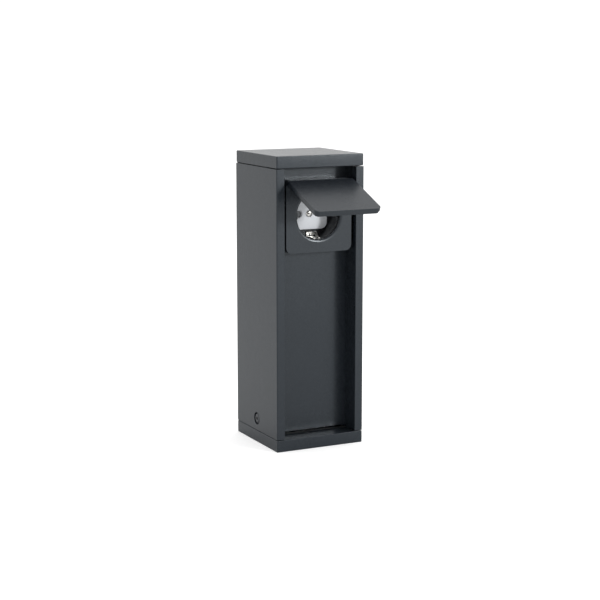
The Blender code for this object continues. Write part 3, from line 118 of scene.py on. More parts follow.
class PillarStageSettings(bpy.types.PropertyGroup):
    """The plain studio round the pillar."""

    floor_colour: FloatVectorProperty(
        name="Floor", description="Colour of the floor", subtype="COLOR",
        size=3, min=0, max=1, default=(0.80, 0.80, 0.80),
    )
    surround: FloatProperty(
        name="Surround", description="Strength of the white surround", min=0, max=5, default=1.08,
    )
    key_power: FloatProperty(
        name="Key light", description="Power of the soft light at the front right", subtype="POWER",
        unit="POWER", min=0, max=200, default=11.0,
    )
    overhead_power: FloatProperty(
        name="Overhead light", description="Power of the large light over the pillar", subtype="POWER",
        unit="POWER", min=0, max=500, default=8.0,
    )
    lens: FloatProperty(
        name="Lens", description="Focal length of the camera", subtype="DISTANCE_CAMERA",
        unit="CAMERA", min=20, max=300, default=90.4,
    )


def finishes():
    return bpy.context.scene.pillar_finish


def edges():
    return bpy.context.scene.pillar_edge


def stage_settings():
    return bpy.context.scene.pillar_stage


# ---------------------------------------------------------------- shader groups


def link(tree, source, target):
    tree.links.new(source, target)


def add_node(tree, kind, **settings):
    node = tree.nodes.new(kind)
    for name, value in settings.items():
        setattr(node, name, value)
    return node


def shader_group(name, inputs, outputs):
    """Empty shader group with named float or colour sockets."""
    tree = bpy.data.node_groups.new(name, "ShaderNodeTree")
    for label, kind, default in inputs:
        socket = tree.interface.new_socket(label, in_out="INPUT", socket_type=kind)
        socket.default_value = default
    for label, kind in outputs:
        tree.interface.new_socket(label, in_out="OUTPUT", socket_type=kind)
    return tree, tree.nodes.new("NodeGroupInput"), tree.nodes.new("NodeGroupOutput")


def maths(tree, operation, first, second):
    """Math node between two sockets or numbers."""
    node = add_node(tree, "ShaderNodeMath", operation=operation)
    for socket, value in zip(node.inputs, (first, second)):
        if isinstance(value, (int, float)):
            socket.default_value = value
        else:
            link(tree, value, socket)
    return node.outputs[0]


def noise(tree, vector, scale, detail=2.0, roughness=0.5):
    """Noise texture whose scale is a number or a socket."""
    node = add_node(tree, "ShaderNodeTexNoise")
    node.inputs["Detail"].default_value = detail
    node.inputs["Roughness"].default_value = roughness
    if isinstance(scale, (int, float)):
        node.inputs["Scale"].default_value = scale
    else:
        link(tree, scale, node.inputs["Scale"])
    link(tree, vector, node.inputs["Vector"])
    return node.outputs["Fac"]


def object_place(tree, stretch=(1.0, 1.0, 1.0)):
    """Object coordinates in metres, stretched along the axes."""
    coordinates = add_node(tree, "ShaderNodeTexCoord")
    mapping = add_node(tree, "ShaderNodeMapping")
    mapping.inputs["Scale"].default_value = stretch
    link(tree, coordinates.outputs["Object"], mapping.inputs["Vector"])
    return mapping.outputs["Vector"]


def make_grain_group():
    """Fine grain: soft lumps of one size with finer speckle on them."""
    tree, start, end = shader_group(
        "Fine grain",
        [
            ("Vector", "NodeSocketVector", (0, 0, 0)),
            ("Lump Scale", "NodeSocketFloat", 700.0),
            ("Speckle Scale", "NodeSocketFloat", 3600.0),
            ("Speckle Share", "NodeSocketFloat", 0.35),
        ],
        [("Height", "NodeSocketFloat"), ("Speckle", "NodeSocketFloat")],
    )
    lumps = noise(tree, start.outputs["Vector"], start.outputs["Lump Scale"], 2.0)
    speckle = noise(tree, start.outputs["Vector"], start.outputs["Speckle Scale"], 1.0)
    part = maths(tree, "MULTIPLY", speckle, start.outputs["Speckle Share"])
    rest = maths(tree, "MULTIPLY", lumps, maths(tree, "SUBTRACT", 1.0, start.outputs["Speckle Share"]))
    link(tree, maths(tree, "ADD", part, rest), end.inputs["Height"])
    link(tree, speckle, end.inputs["Speckle"])
    return tree


def make_drift_group():
    """Slow drift of tone and sheen over a surface, with a film of dust on faces that look up."""
    tree, start, end = shader_group(
        "Slow drift",
        [
            ("Vector", "NodeSocketVector", (0, 0, 0)),
            ("Scale", "NodeSocketFloat", 14.0),
            ("Low", "NodeSocketFloat", 0.92),
            ("High", "NodeSocketFloat", 1.08),
        ],
        [("Factor", "NodeSocketFloat"), ("Dust", "NodeSocketFloat")],
    )
    slow = noise(tree, start.outputs["Vector"], start.outputs["Scale"], 4.0, 0.55)
    spread = add_node(tree, "ShaderNodeMapRange")
    spread.inputs["From Min"].default_value = 0.3
    spread.inputs["From Max"].default_value = 0.7
    link(tree, slow, spread.inputs["Value"])
    link(tree, start.outputs["Low"], spread.inputs["To Min"])
    link(tree, start.outputs["High"], spread.inputs["To Max"])
    link(tree, spread.outputs["Result"], end.inputs["Factor"])
    geometry = add_node(tree, "ShaderNodeNewGeometry")
    split = add_node(tree, "ShaderNodeSeparateXYZ")
    link(tree, geometry.outputs["Normal"], split.inputs[0])
    up = maths(tree, "MAXIMUM", split.outputs["Z"], 0.0)
    specks = noise(tree, start.outputs["Vector"], 220.0, 3.0, 0.6)
    link(tree, maths(tree, "MULTIPLY", maths(tree, "POWER", up, 6.0), specks), end.inputs["Dust"])
    return tree


def make_edge_highlight_group():
    """Where a rounded edge is painted lighter, as a painted edge highlight and as wear: its own faces, broken up
    by noise.
    """
    tree, start, end = shader_group(
        "Edge highlight and wear",
        [("Vector", "NodeSocketVector", (0, 0, 0)), ("Scale", "NodeSocketFloat", 160.0)],
        [("Mask", "NodeSocketFloat")],
    )
    marked = add_node(tree, "ShaderNodeAttribute", attribute_name="edge")
    patches = noise(tree, start.outputs["Vector"], start.outputs["Scale"], 3.0, 0.6)
    ramp = add_node(tree, "ShaderNodeMapRange")
    ramp.inputs["From Min"].default_value = 0.38
    ramp.inputs["From Max"].default_value = 0.66
    link(tree, patches, ramp.inputs["Value"])
    link(tree, maths(tree, "MULTIPLY", marked.outputs["Fac"], ramp.outputs["Result"]), end.inputs["Mask"])
    return tree


GROUPS = {}


def place_group(tree, name, vector, **values):
    node = add_node(tree, "ShaderNodeGroup", node_tree=GROUPS[name])
    link(tree, vector, node.inputs["Vector"])
    for label, value in values.items():
        node.inputs[label.replace("_", " ").title()].default_value = value
    return node


def mixed(tree, factor, first, second):
    """Colour mix. Each side is a colour or a socket."""
    node = add_node(tree, "ShaderNodeMix", data_type="RGBA")
    for socket, value in ((node.inputs[MIX_FIRST], first), (node.inputs[MIX_SECOND], second)):
        if isinstance(value, tuple):
            socket.default_value = (*value, 1.0)
        else:
            link(tree, value, socket)
    if isinstance(factor, (int, float)):
        node.inputs[MIX_FACTOR].default_value = factor
    else:
        link(tree, factor, node.inputs[MIX_FACTOR])
    return node.outputs[MIX_RESULT]


def toned(tree, colour, factor):
    """A colour made darker or lighter by a factor."""
    node = add_node(tree, "ShaderNodeHueSaturation")
    if isinstance(colour, tuple):
        node.inputs["Color"].default_value = (*colour, 1.0)
    else:
        link(tree, colour, node.inputs["Color"])
    link(tree, factor, node.inputs["Value"])
    return node.outputs["Color"]


def bumped(tree, height, distance, strength=1.0):
    node = add_node(tree, "ShaderNodeBump")
    node.inputs["Strength"].default_value = strength
    node.inputs["Distance"].default_value = distance
    link(tree, height, node.inputs["Height"])
    return node.outputs["Normal"]


# ---------------------------------------------------------------- materials


COATING_IOR = 1.46
COOL_GLOSS = (0.88, 0.95, 1.0)


def blank_material(name, metallic=0.0):
    material = bpy.data.materials.new(name)
    material.use_nodes = True
    shader = material.node_tree.nodes["Principled BSDF"]
    shader.inputs["Metallic"].default_value = metallic
    if not metallic:
        shader.inputs["IOR"].default_value = COATING_IOR
        shader.inputs["Specular Tint"].default_value = (*COOL_GLOSS, 1.0)
    return material, material.node_tree, shader


def surface(name, colour, roughness, edge_highlight_and_wear=None, dust=0.0, lump=700.0, speckle=3600.0, relief=0.00004,
            drift=0.08, speckle_tone=0.0):
    """Coated or moulded finish: grain in relief, slow drift of tone, rounded edges painted lighter (painted edge
    highlight and wear) and a film of dust.
    """
    material, tree, shader = blank_material(name)
    place = object_place(tree)
    grain = place_group(tree, "Fine grain", place, lump_scale=lump, speckle_scale=speckle)
    slow = place_group(tree, "Slow drift", place, low=1.0 - drift, high=1.0 + drift)
    base = toned(tree, colour, slow.outputs["Factor"])
    if speckle_tone:
        light = tuple(min(1.0, value * (1.0 + speckle_tone)) for value in colour)
        spots = maths(tree, "POWER", grain.outputs["Speckle"], 3.0)
        base = mixed(tree, spots, base, light)
    # Rounded edges are mixed towards a paler colour in noisy patches: a painted edge highlight, which also stands
    # for wear.
    if edge_highlight_and_wear:
        edge = place_group(tree, "Edge highlight and wear", place)
        base = mixed(tree, maths(tree, "MULTIPLY", edge.outputs["Mask"], edge_highlight_and_wear[1]), base, edge_highlight_and_wear[0])
    if dust:
        base = mixed(tree, maths(tree, "MULTIPLY", slow.outputs["Dust"], dust), base, (0.42, 0.42, 0.43))
    link(tree, base, shader.inputs["Base Color"])
    sheen = maths(tree, "MULTIPLY", slow.outputs["Factor"], roughness)
    sheen = maths(tree, "ADD", sheen, maths(tree, "MULTIPLY", grain.outputs["Speckle"], 0.06))
    link(tree, maths(tree, "SUBTRACT", sheen, 0.03), shader.inputs["Roughness"])
    link(tree, bumped(tree, grain.outputs["Height"], relief), shader.inputs["Normal"])
    return material


def brushed(name, colour, roughness, stretch, relief=0.000015):
    """Bare or plated metal with fine drawn lines."""
    material, tree, shader = blank_material(name, 1.0)
    place = object_place(tree)
    lines = noise(tree, object_place(tree, stretch), 900.0, 3.0, 0.6)
    slow = place_group(tree, "Slow drift", place, scale=60.0, low=0.88, high=1.06)
    base = toned(tree, colour, slow.outputs["Factor"])
    link(tree, base, shader.inputs["Base Color"])
    sheen = maths(tree, "ADD", maths(tree, "MULTIPLY", lines, 0.18), roughness - 0.09)
    link(tree, sheen, shader.inputs["Roughness"])
    link(tree, bumped(tree, lines, relief), shader.inputs["Normal"])
    return material


def striped_insulation(name, first, second):
    """Wire insulation with two stripes of a second colour that follow the wire."""
    material, tree, shader = blank_material(name)
    around = add_node(tree, "ShaderNodeAttribute", attribute_name="around")
    wave = maths(tree, "SINE", maths(tree, "MULTIPLY", around.outputs["Fac"], 4 * math.pi), 0.0)
    base = mixed(tree, maths(tree, "GREATER_THAN", wave, 0.25), first, second)
    slow = place_group(tree, "Slow drift", object_place(tree), scale=80.0, low=0.9, high=1.05)
    link(tree, toned(tree, base, slow.outputs["Factor"]), shader.inputs["Base Color"])
    link(tree, maths(tree, "MULTIPLY", slow.outputs["Factor"], 0.45), shader.inputs["Roughness"])
    return material


MATERIALS = {}


def make_materials():
    """Every finish, keyed by the record's slot."""
    GROUPS["Fine grain"] = make_grain_group()
    GROUPS["Slow drift"] = make_drift_group()
    GROUPS["Edge highlight and wear"] = make_edge_highlight_group()
    settings = finishes()
    coat = tuple(settings.coat_colour)
    plastic = tuple(settings.plastic_colour)
    MATERIALS.update(
        # The paler edge colours given below paint an edge highlight on the rounded edges as well as wear.
        powder_coat=surface(
            "anthracite_powder_coat", coat, settings.coat_roughness, edge_highlight_and_wear=((0.055, 0.06, 0.068), 0.55),
            dust=0.006, lump=1300.0, speckle=4200.0, relief=0.00007, speckle_tone=0.6,
        ),
        frame_plastic=surface(
            "anthracite_moulded_plastic", plastic, 0.28, edge_highlight_and_wear=((0.04, 0.044, 0.05), 0.4),
            dust=0.03, lump=1500.0, speckle=5200.0, relief=0.000018, speckle_tone=0.3,
        ),
        black_plastic=surface(
            "black_moulded_plastic", (0.008, 0.008, 0.009), 0.34, lump=1800.0, relief=0.00001
        ),
        grey_plastic=surface(
            "light_grey_moulded_plastic", tuple(settings.insert_colour), 0.38, lump=1400.0, relief=0.00001,
            drift=0.03,
        ),
        white_plastic=surface("white_moulded_plastic", (0.74, 0.74, 0.70), 0.42, lump=1200.0, relief=0.00001,
                              drift=0.04),
        shutter_plastic=surface(
            "mid_grey_moulded_plastic", (0.17, 0.175, 0.18), 0.40, lump=1400.0, relief=0.00001
        ),
        rubber=surface("black_rubber", (0.012, 0.012, 0.012), 0.78, lump=900.0, relief=0.00003),
        brown_wire=surface("brown_insulation", (0.12, 0.045, 0.02), 0.45, relief=0.000006),
        blue_wire=surface("blue_insulation", (0.02, 0.08, 0.40), 0.45, relief=0.000006),
        earth_wire=striped_insulation("earth_insulation", (0.08, 0.32, 0.04), (0.78, 0.62, 0.03)),
        zinc_steel=brushed("zinc_plated_steel", (0.60, 0.61, 0.60), 0.36, (1.0, 1.0, 5.0)),
        black_steel=brushed("blackened_steel", (0.085, 0.088, 0.095), 0.38, (4.0, 1.0, 1.0)),
        stainless=brushed("stainless_steel", (0.58, 0.58, 0.57), 0.28, (0.1, 1.0, 1.0)),
        nickel_plate=brushed("nickel_plate", (0.74, 0.73, 0.70), 0.32, (6.0, 1.0, 1.0)),
        brass=brushed("brass", (0.74, 0.55, 0.24), 0.28, (1.0, 1.0, 4.0)),
    )


def slot_of(node):
    for entry in frame["record"]["subparts"]:
        if entry["node"] == node:
            return entry["material_slot"]
    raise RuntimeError(f"the record gives no material slot for {node}")


def dress(obj, material):
    """Gives an object one material on all its faces."""
    obj.data.materials.clear()
    obj.data.materials.append(material)


def dress_cad(*nodes):
    """Gives CAD nodes that stay as they are the finish of their slot."""
    for node in nodes:
        dress(NODES[node], MATERIALS[slot_of(node)])


# ---------------------------------------------------------------- mesh helpers


def mesh_object(name, mesh):
    obj = bpy.data.objects.new(name, mesh)
    bpy.context.scene.collection.objects.link(obj)
    return obj


def baked(obj, name):
    """The evaluated object as a plain mesh of its own. The source object goes."""
    bpy.context.view_layer.update()
    graph = bpy.context.evaluated_depsgraph_get()
    mesh = bpy.data.meshes.new_from_object(obj.evaluated_get(graph), depsgraph=graph)
    bpy.data.objects.remove(obj)
    mesh.name = name
    return mesh_object(name, mesh)


def smooth_shaded(obj, angle=40.0):
    obj.data.shade_smooth()
    obj.data.set_sharp_from_angle(angle=math.radians(angle))


def stand_for(obj, body, *nodes):
    """Puts a finished piece on its body, in place of its CAD nodes."""
    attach(obj, body)
    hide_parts(*nodes)


def refined(node, body, width, steps=None, limit=38.0, finish=None):
    """A CAD node with its edges rounded. The faces of a rounded edge are marked in the attribute edge."""
    material = MATERIALS[finish or slot_of(node)]
    shape = bmesh.new()
    shape.from_mesh(NODES[node].data)
    bmesh.ops.remove_doubles(shape, verts=shape.verts, dist=SAME_POINT)
    bmesh.ops.dissolve_limit(
        shape,
        angle_limit=math.radians(FLAT_ANGLE_DEG),
        verts=shape.verts,
        edges=shape.edges,
        use_dissolve_boundaries=False,
    )
    mesh = bpy.data.meshes.new(node)
    shape.to_mesh(mesh)
    shape.free()
    mesh.materials.clear()
    mesh.materials.append(material)
    mesh.materials.append(material)
    obj = mesh_object(node + "_core", mesh)
    bevel = obj.modifiers.new("round_edges", "BEVEL")
    bevel.width = width
    bevel.segments = steps or edges().edge_steps
    bevel.limit_method = "ANGLE"
    bevel.angle_limit = math.radians(limit)
    bevel.use_clamp_overlap = True
    bevel.material = 1
    bevel.miter_outer = "MITER_ARC"
    flat = obj.modifiers.new("flat_faces", "WEIGHTED_NORMAL")
    flat.keep_sharp = True
    obj.data.shade_smooth()
    piece = baked(obj, node + "_finished")
    mark_edges(piece)
    dress(piece, material)
    stand_for(piece, body, node)
    return piece


def mark_edges(obj):
    """Stores 1 in the attribute edge on the faces that a rounded edge made, and 0 elsewhere."""
    marks = [float(face.material_index == 1) for face in obj.data.polygons]
    attribute = obj.data.attributes.new("edge", "FLOAT", "FACE")
    attribute.data.foreach_set("value", marks)
    obj.data.polygons.foreach_set("material_index", [0] * len(marks))


# ---------------------------------------------------------------- geometry trees


def geometry_tree(name, inputs):
    """Geometry node group with a geometry input and named inputs of its own."""
    tree = bpy.data.node_groups.new(name, "GeometryNodeTree")
    tree.interface.new_socket("Geometry", in_out="INPUT", socket_type="NodeSocketGeometry")
    for label, kind, default in inputs:
        socket = tree.interface.new_socket(label, in_out="INPUT", socket_type=kind)
        if default is not None:
            socket.default_value = default
    tree.interface.new_socket("Geometry", in_out="OUTPUT", socket_type="NodeSocketGeometry")
    return tree, tree.nodes.new("NodeGroupInput"), tree.nodes.new("NodeGroupOutput")


def finish_tree(tree, start, end, geometry):
    """Ends a tree in Realize Instances and Set Material."""
    real = add_node(tree, "GeometryNodeRealizeInstances")
    paint = add_node(tree, "GeometryNodeSetMaterial")
    link(tree, geometry, real.inputs["Geometry"])
    link(tree, real.outputs["Geometry"], paint.inputs["Geometry"])
    link(tree, start.outputs["Material"], paint.inputs["Material"])
    link(tree, paint.outputs["Geometry"], end.inputs["Geometry"])


def grown(obj, tree, name, **values):
    """Runs a tree on an object and returns the result as a plain mesh object."""
    modifier = obj.modifiers.new(tree.name, "NODES")
    modifier.node_group = tree
    wanted = {label.replace("_", " ").title(): value for label, value in values.items()}
    for item in tree.interface.items_tree:
        if item.in_out == "INPUT" and item.name in wanted:
            modifier[item.identifier] = wanted.pop(item.name)
    if wanted:
        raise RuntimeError(f"{tree.name} has no input named {sorted(wanted)}")
    return baked(obj, name)


def vector_of(tree, z):
    node = add_node(tree, "ShaderNodeCombineXYZ")
    link(tree, z, node.inputs["Z"])
    return node.outputs["Vector"]


def make_screw_tree():
    """Screws on points: each is built upwards from its shank's end, and turned to the point's facing."""
    tree, start, end = geometry_tree(
        "Screws on points",
        [
            ("Head Radius", "NodeSocketFloat", 0.003),
            ("Head Height", "NodeSocketFloat", 0.002),
            ("Shank Radius", "NodeSocketFloat", 0.0015),
            ("Shank Length", "NodeSocketFloat", 0.01),
            ("Drive Width", "NodeSocketFloat", 0.0008),
            ("Drive Depth", "NodeSocketFloat", 0.0009),
            ("Hexagon Drive", "NodeSocketBool", False),
            ("Material", "NodeSocketMaterial", None),
        ],
    )
    disc = add_node(tree, "GeometryNodeMeshCircle", fill_type="NGON")
    disc.inputs["Vertices"].default_value = 40
    link(tree, start.outputs["Shank Radius"], disc.inputs["Radius"])
    lowered = add_node(tree, "GeometryNodeTransform")
    link(tree, disc.outputs["Mesh"], lowered.inputs["Geometry"])
    down = maths(tree, "MULTIPLY", start.outputs["Shank Length"], -1.0)
    link(tree, vector_of(tree, down), lowered.inputs["Translation"])

    def extruded(mesh, distance, selection, widen):
        """Pushes the top face up by a distance and scales it."""
        push = add_node(tree, "GeometryNodeExtrudeMesh", mode="FACES")
        push.inputs["Individual"].default_value = False
        link(tree, mesh, push.inputs["Mesh"])
        if selection:
            link(tree, selection, push.inputs["Selection"])
        upward = add_node(tree, "ShaderNodeCombineXYZ")
        upward.inputs["Z"].default_value = 1.0
        link(tree, upward.outputs["Vector"], push.inputs["Offset"])
        link(tree, distance, push.inputs["Offset Scale"])
        scale = add_node(tree, "GeometryNodeScaleElements")
        link(tree, push.outputs["Mesh"], scale.inputs["Geometry"])
        link(tree, push.outputs["Top"], scale.inputs["Selection"])
        if isinstance(widen, float):
            scale.inputs["Scale"].default_value = widen
        else:
            link(tree, widen, scale.inputs["Scale"])
        return scale.outputs["Geometry"], push.outputs["Top"]

    height = start.outputs["Head Height"]
    ratio = maths(tree, "DIVIDE", start.outputs["Head Radius"], start.outputs["Shank Radius"])
    tip = maths(tree, "MULTIPLY", start.outputs["Shank Radius"], 0.25)
    body = maths(tree, "SUBTRACT", start.outputs["Shank Length"], tip)
    mesh, top = extruded(lowered.outputs["Geometry"], tip, None, 1.0)
    mesh, top = extruded(mesh, body, top, 1.0)
    mesh, top = extruded(mesh, maths(tree, "MULTIPLY", height, 0.02), top, ratio)
    mesh, top = extruded(mesh, maths(tree, "MULTIPLY", height, 0.58), top, 1.0)
    mesh, top = extruded(mesh, maths(tree, "MULTIPLY", height, 0.22), top, 0.93)
    mesh, top = extruded(mesh, maths(tree, "MULTIPLY", height, 0.18), top, 0.86)
    bottom = add_node(tree, "GeometryNodeFlipFaces")
    link(tree, lowered.outputs["Geometry"], bottom.inputs["Mesh"])
    whole = add_node(tree, "GeometryNodeJoinGeometry")
    link(tree, mesh, whole.inputs["Geometry"])
    link(tree, bottom.outputs["Mesh"], whole.inputs["Geometry"])
    welded = add_node(tree, "GeometryNodeMergeByDistance")
    welded.inputs["Distance"].default_value = 1e-6
    link(tree, whole.outputs["Geometry"], welded.inputs["Geometry"])

    slot = add_node(tree, "GeometryNodeMeshCube")
    size = add_node(tree, "ShaderNodeCombineXYZ")
    link(tree, maths(tree, "MULTIPLY", start.outputs["Head Radius"], 2.6), size.inputs["X"])
    link(tree, start.outputs["Drive Width"], size.inputs["Y"])
    deep = maths(tree, "MULTIPLY", start.outputs["Drive Depth"], 2.0)
    link(tree, deep, size.inputs["Z"])
    link(tree, size.outputs["Vector"], slot.inputs["Size"])
    hexagon = add_node(tree, "GeometryNodeMeshCylinder")
    hexagon.inputs["Vertices"].default_value = 6
    link(tree, maths(tree, "MULTIPLY", start.outputs["Drive Width"], 0.577), hexagon.inputs["Radius"])
    link(tree, deep, hexagon.inputs["Depth"])
    choice = add_node(tree, "GeometryNodeSwitch", input_type="GEOMETRY")
    link(tree, start.outputs["Hexagon Drive"], choice.inputs["Switch"])
    link(tree, slot.outputs["Mesh"], choice.inputs["False"])
    link(tree, hexagon.outputs["Mesh"], choice.inputs["True"])
    raised = add_node(tree, "GeometryNodeTransform")
    link(tree, choice.outputs["Output"], raised.inputs["Geometry"])
    link(tree, vector_of(tree, height), raised.inputs["Translation"])
    carve = add_node(tree, "GeometryNodeMeshBoolean", operation="DIFFERENCE")
    link(tree, welded.outputs["Geometry"], carve.inputs["Mesh 1"])
    link(tree, raised.outputs["Geometry"], carve.inputs["Mesh 2"])

    facing = add_node(tree, "GeometryNodeInputNamedAttribute", data_type="FLOAT_VECTOR")
    facing.inputs["Name"].default_value = "facing"
    turn = add_node(tree, "FunctionNodeAlignRotationToVector", axis="Z")
    link(tree, facing.outputs["Attribute"], turn.inputs["Vector"])
    copies = add_node(tree, "GeometryNodeInstanceOnPoints")
    link(tree, start.outputs["Geometry"], copies.inputs["Points"])
    link(tree, carve.outputs["Mesh"], copies.inputs["Instance"])
    link(tree, turn.outputs["Rotation"], copies.inputs["Rotation"])
    finish_tree(tree, start, end, copies.outputs["Instances"])
    return tree


def make_tube_tree():
    """Round tube along a path. The attribute around runs from 0 to 1 round it."""
    tree, start, end = geometry_tree(
        "Tube on path",
        [
            ("Radius", "NodeSocketFloat", 0.0012),
            ("Sides", "NodeSocketInt", 16),
            ("Material", "NodeSocketMaterial", None),
        ],
    )
    circle = add_node(tree, "GeometryNodeCurvePrimitiveCircle")
    link(tree, start.outputs["Sides"], circle.inputs["Resolution"])
    link(tree, start.outputs["Radius"], circle.inputs["Radius"])
    share = add_node(tree, "GeometryNodeSplineParameter")
    store = add_node(tree, "GeometryNodeStoreNamedAttribute", data_type="FLOAT", domain="POINT")
    store.inputs["Name"].default_value = "around"
    link(tree, circle.outputs["Curve"], store.inputs["Geometry"])
    link(tree, share.outputs["Factor"], store.inputs["Value"])
    sweep = add_node(tree, "GeometryNodeCurveToMesh")
    sweep.inputs["Fill Caps"].default_value = True
    link(tree, start.outputs["Geometry"], sweep.inputs["Curve"])
    link(tree, store.outputs["Geometry"], sweep.inputs["Profile Curve"])
    finish_tree(tree, start, end, sweep.outputs["Mesh"])
    return tree


def make_rib_tree():
    """Upright ribs spaced evenly round a circle."""
    tree, start, end = geometry_tree(
        "Ribs on circle",
        [
            ("Radius", "NodeSocketFloat", 0.01),
            ("Count", "NodeSocketInt", 24),
            ("Rib Size", "NodeSocketVector", (0.001, 0.001, 0.006)),
            ("Material", "NodeSocketMaterial", None),
        ],
    )
    circle = add_node(tree, "GeometryNodeMeshCircle")
    link(tree, start.outputs["Count"], circle.inputs["Vertices"])
    link(tree, start.outputs["Radius"], circle.inputs["Radius"])
    rib = add_node(tree, "GeometryNodeMeshCube")
    link(tree, start.outputs["Rib Size"], rib.inputs["Size"])
    place = add_node(tree, "GeometryNodeInputPosition")
    turn = add_node(tree, "FunctionNodeAlignRotationToVector", axis="X", pivot_axis="Z")
    link(tree, place.outputs["Position"], turn.inputs["Vector"])
    copies = add_node(tree, "GeometryNodeInstanceOnPoints")
    link(tree, circle.outputs["Mesh"], copies.inputs["Points"])
    link(tree, rib.outputs["Mesh"], copies.inputs["Instance"])
    link(tree, turn.outputs["Rotation"], copies.inputs["Rotation"])
    finish_tree(tree, start, end, copies.outputs["Instances"])
    return tree


TREES = {}


def make_trees():
    TREES["screws"] = make_screw_tree()
    TREES["tube"] = make_tube_tree()
    TREES["ribs"] = make_rib_tree()


def points_object(places, facing):
    """Loose points, each with the direction that it faces."""
    mesh = bpy.data.meshes.new("places")
    mesh.from_pydata([tuple(place) for place in places], [], [])
    attribute = mesh.attributes.new("facing", "FLOAT_VECTOR", "POINT")
    attribute.data.foreach_set("vector", [value for direction in facing for value in direction])
    return mesh_object("places", mesh)


def path_object(points):
    curve = bpy.data.curves.new("path", "CURVE")
    curve.dimensions = "3D"
    spline = curve.splines.new("POLY")
    spline.points.add(len(points) - 1)
    for point, place in zip(spline.points, points):
        point.co = (*place, 1.0)
    obj = bpy.data.objects.new("path", curve)
    bpy.context.scene.collection.objects.link(obj)
    return obj


def smooth_route(points, steps=8):
    """Catmull-Rom curve through the points, which are in millimetres."""
    ends = [Vector(point) * MM for point in points]
    ends = [2 * ends[0] - ends[1], *ends, 2 * ends[-1] - ends[-2]]
    route = []
    for i in range(1, len(ends) - 2):
        p0, p1, p2, p3 = ends[i - 1 : i + 3]
        for step in range(steps):
            t = step / steps
            linear = (p2 - p0) * t
            square = (2 * p0 - 5 * p1 + 4 * p2 - p3) * t**2
            cube = (3 * p1 - p0 - 3 * p2 + p3) * t**3
            route.append(0.5 * (2 * p1 + linear + square + cube))
    route.append(ends[-2])
    return route


def screws(name, nodes, facings, head, shank, drive, hexagon=False):
    """One mesh of like screws, each in the place of its CAD node. Sizes are in millimetres."""
    places = []
    for node, facing in zip(nodes, facings):
        low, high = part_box(node)
        centre = (low + high) / 2
        index = [abs(value) for value in facing].index(1)
        outer = high[index] if facing[index] > 0 else low[index]
        centre[index] = outer - facing[index] * head[1] * MM
        places.append(centre)
    piece = grown(
        points_object(places, facings),
        TREES["screws"],
        name,
        head_radius=head[0] * MM,
        head_height=head[1] * MM,
        shank_radius=shank[0] * MM,
        shank_length=shank[1] * MM,
        drive_width=drive[0] * MM,
        drive_depth=drive[1] * MM,
        hexagon_drive=hexagon,
        material=MATERIALS[slot_of(nodes[0])],
    )
    smooth_shaded(piece, 45)
    stand_for(piece, PILLAR, *nodes)
    return piece


def numbered(stem, ends):
    """The names that a stem makes with each of its ends."""
    return [f"{stem}_{end}" for end in ends]


# ---------------------------------------------------------------- pieces


class PILLAR_OT_post(bpy.types.Operator):
    """Make the post's coated pieces with rounded edges"""

    bl_idname = "pillar.make_post"
    bl_label = "Post"

    def execute(self, context):
        width = edges().metal_edge
        refined("body_shell", PILLAR, width)
        refined("base_plate", PILLAR, width)
        refined("top_cap", PILLAR, width)
        refined("front_panel", PILLAR, width * 0.8)
        dress_cad("base_gasket", "cap_gasket")
        return {"FINISHED"}


class PILLAR_OT_socket(bpy.types.Operator):
    """Make the socket's frame, cup, contact block, shutter and strap"""

    bl_idname = "pillar.make_socket"
    bl_label = "Socket"

    def execute(self, context):
        width = edges().plastic_edge
        refined("socket_frame", PILLAR, width * 1.6)
        refined("socket_cup", PILLAR, width)
        refined("contact_block", PILLAR, width * 1.5)
        refined("pin_shutter", SHUTTER, width * 0.6, 2, finish="shutter_plastic")
        refined("earth_strap", PILLAR, 0.00009, 2)
        refined("socket_housing", PILLAR, width)
        dress_cad("frame_gasket", "live_contact", "neutral_contact")
        return {"FINISHED"}


SPRING_WIRE = 0.25
SPRING_RADIUS = 1.5
SPRING_TURNS = 6
SPRING_PITCH = 1.1
SPRING_LEG = 3.5
SPRING_START_DEG = -90.0
FLAP_OPEN_DEG = 68.0
STEPS_PER_TURN = 24


def spring_route(hinge):
    """One leg in the frame, the coils round the hinge pin and the other leg along the flap's inside."""
    half = SPRING_TURNS * SPRING_PITCH / 2
    turn = 360.0 * SPRING_TURNS + SPRING_START_DEG + FLAP_OPEN_DEG
    steps = STEPS_PER_TURN * SPRING_TURNS
    frame_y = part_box("flap_spring")[1].y / MM
    route = [Vector((-half, frame_y, hinge.z - SPRING_RADIUS))]
    for i in range(steps + 1):
        angle = math.radians(SPRING_START_DEG - turn * i / steps)
        coil = Vector((0, math.cos(angle), math.sin(angle))) * SPRING_RADIUS
        route.append(Vector((half * (2 * i / steps - 1), hinge.y, hinge.z)) + coil)
    lean = math.radians(FLAP_OPEN_DEG)
    route.append(route[-1] - Vector((0, math.sin(lean), math.cos(lean))) * SPRING_LEG)
    return [place * MM for place in route]


def make_spring():
    """The spring in one fixed shape, wound for the flap at its open angle: one end lies in the frame and the other
    along the flap.
    """
    hinge = next(joint for joint in frame["joints"] if joint["name"] == "flap_hinge")
    middle = Vector(hinge["pos_m"]) / MM
    piece = grown(
        path_object(spring_route(middle)), TREES["tube"], "flap_spring_finished", radius=SPRING_WIRE * MM,
        sides=10, material=MATERIALS[slot_of("flap_spring")],
    )
    smooth_shaded(piece, 60)
    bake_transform(piece)
    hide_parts("flap_spring")


class PILLAR_OT_flap(bpy.types.Operator):
    """Make the flap with its rounded edges, its seal, pin and spring"""

    bl_idname = "pillar.make_flap"
    bl_label = "Flap"

    def execute(self, context):
        refined("flap", FLAP, edges().plastic_edge * 1.3)
        dress_cad("flap_seal", "hinge_pin")
        make_spring()
        return {"FINISHED"}


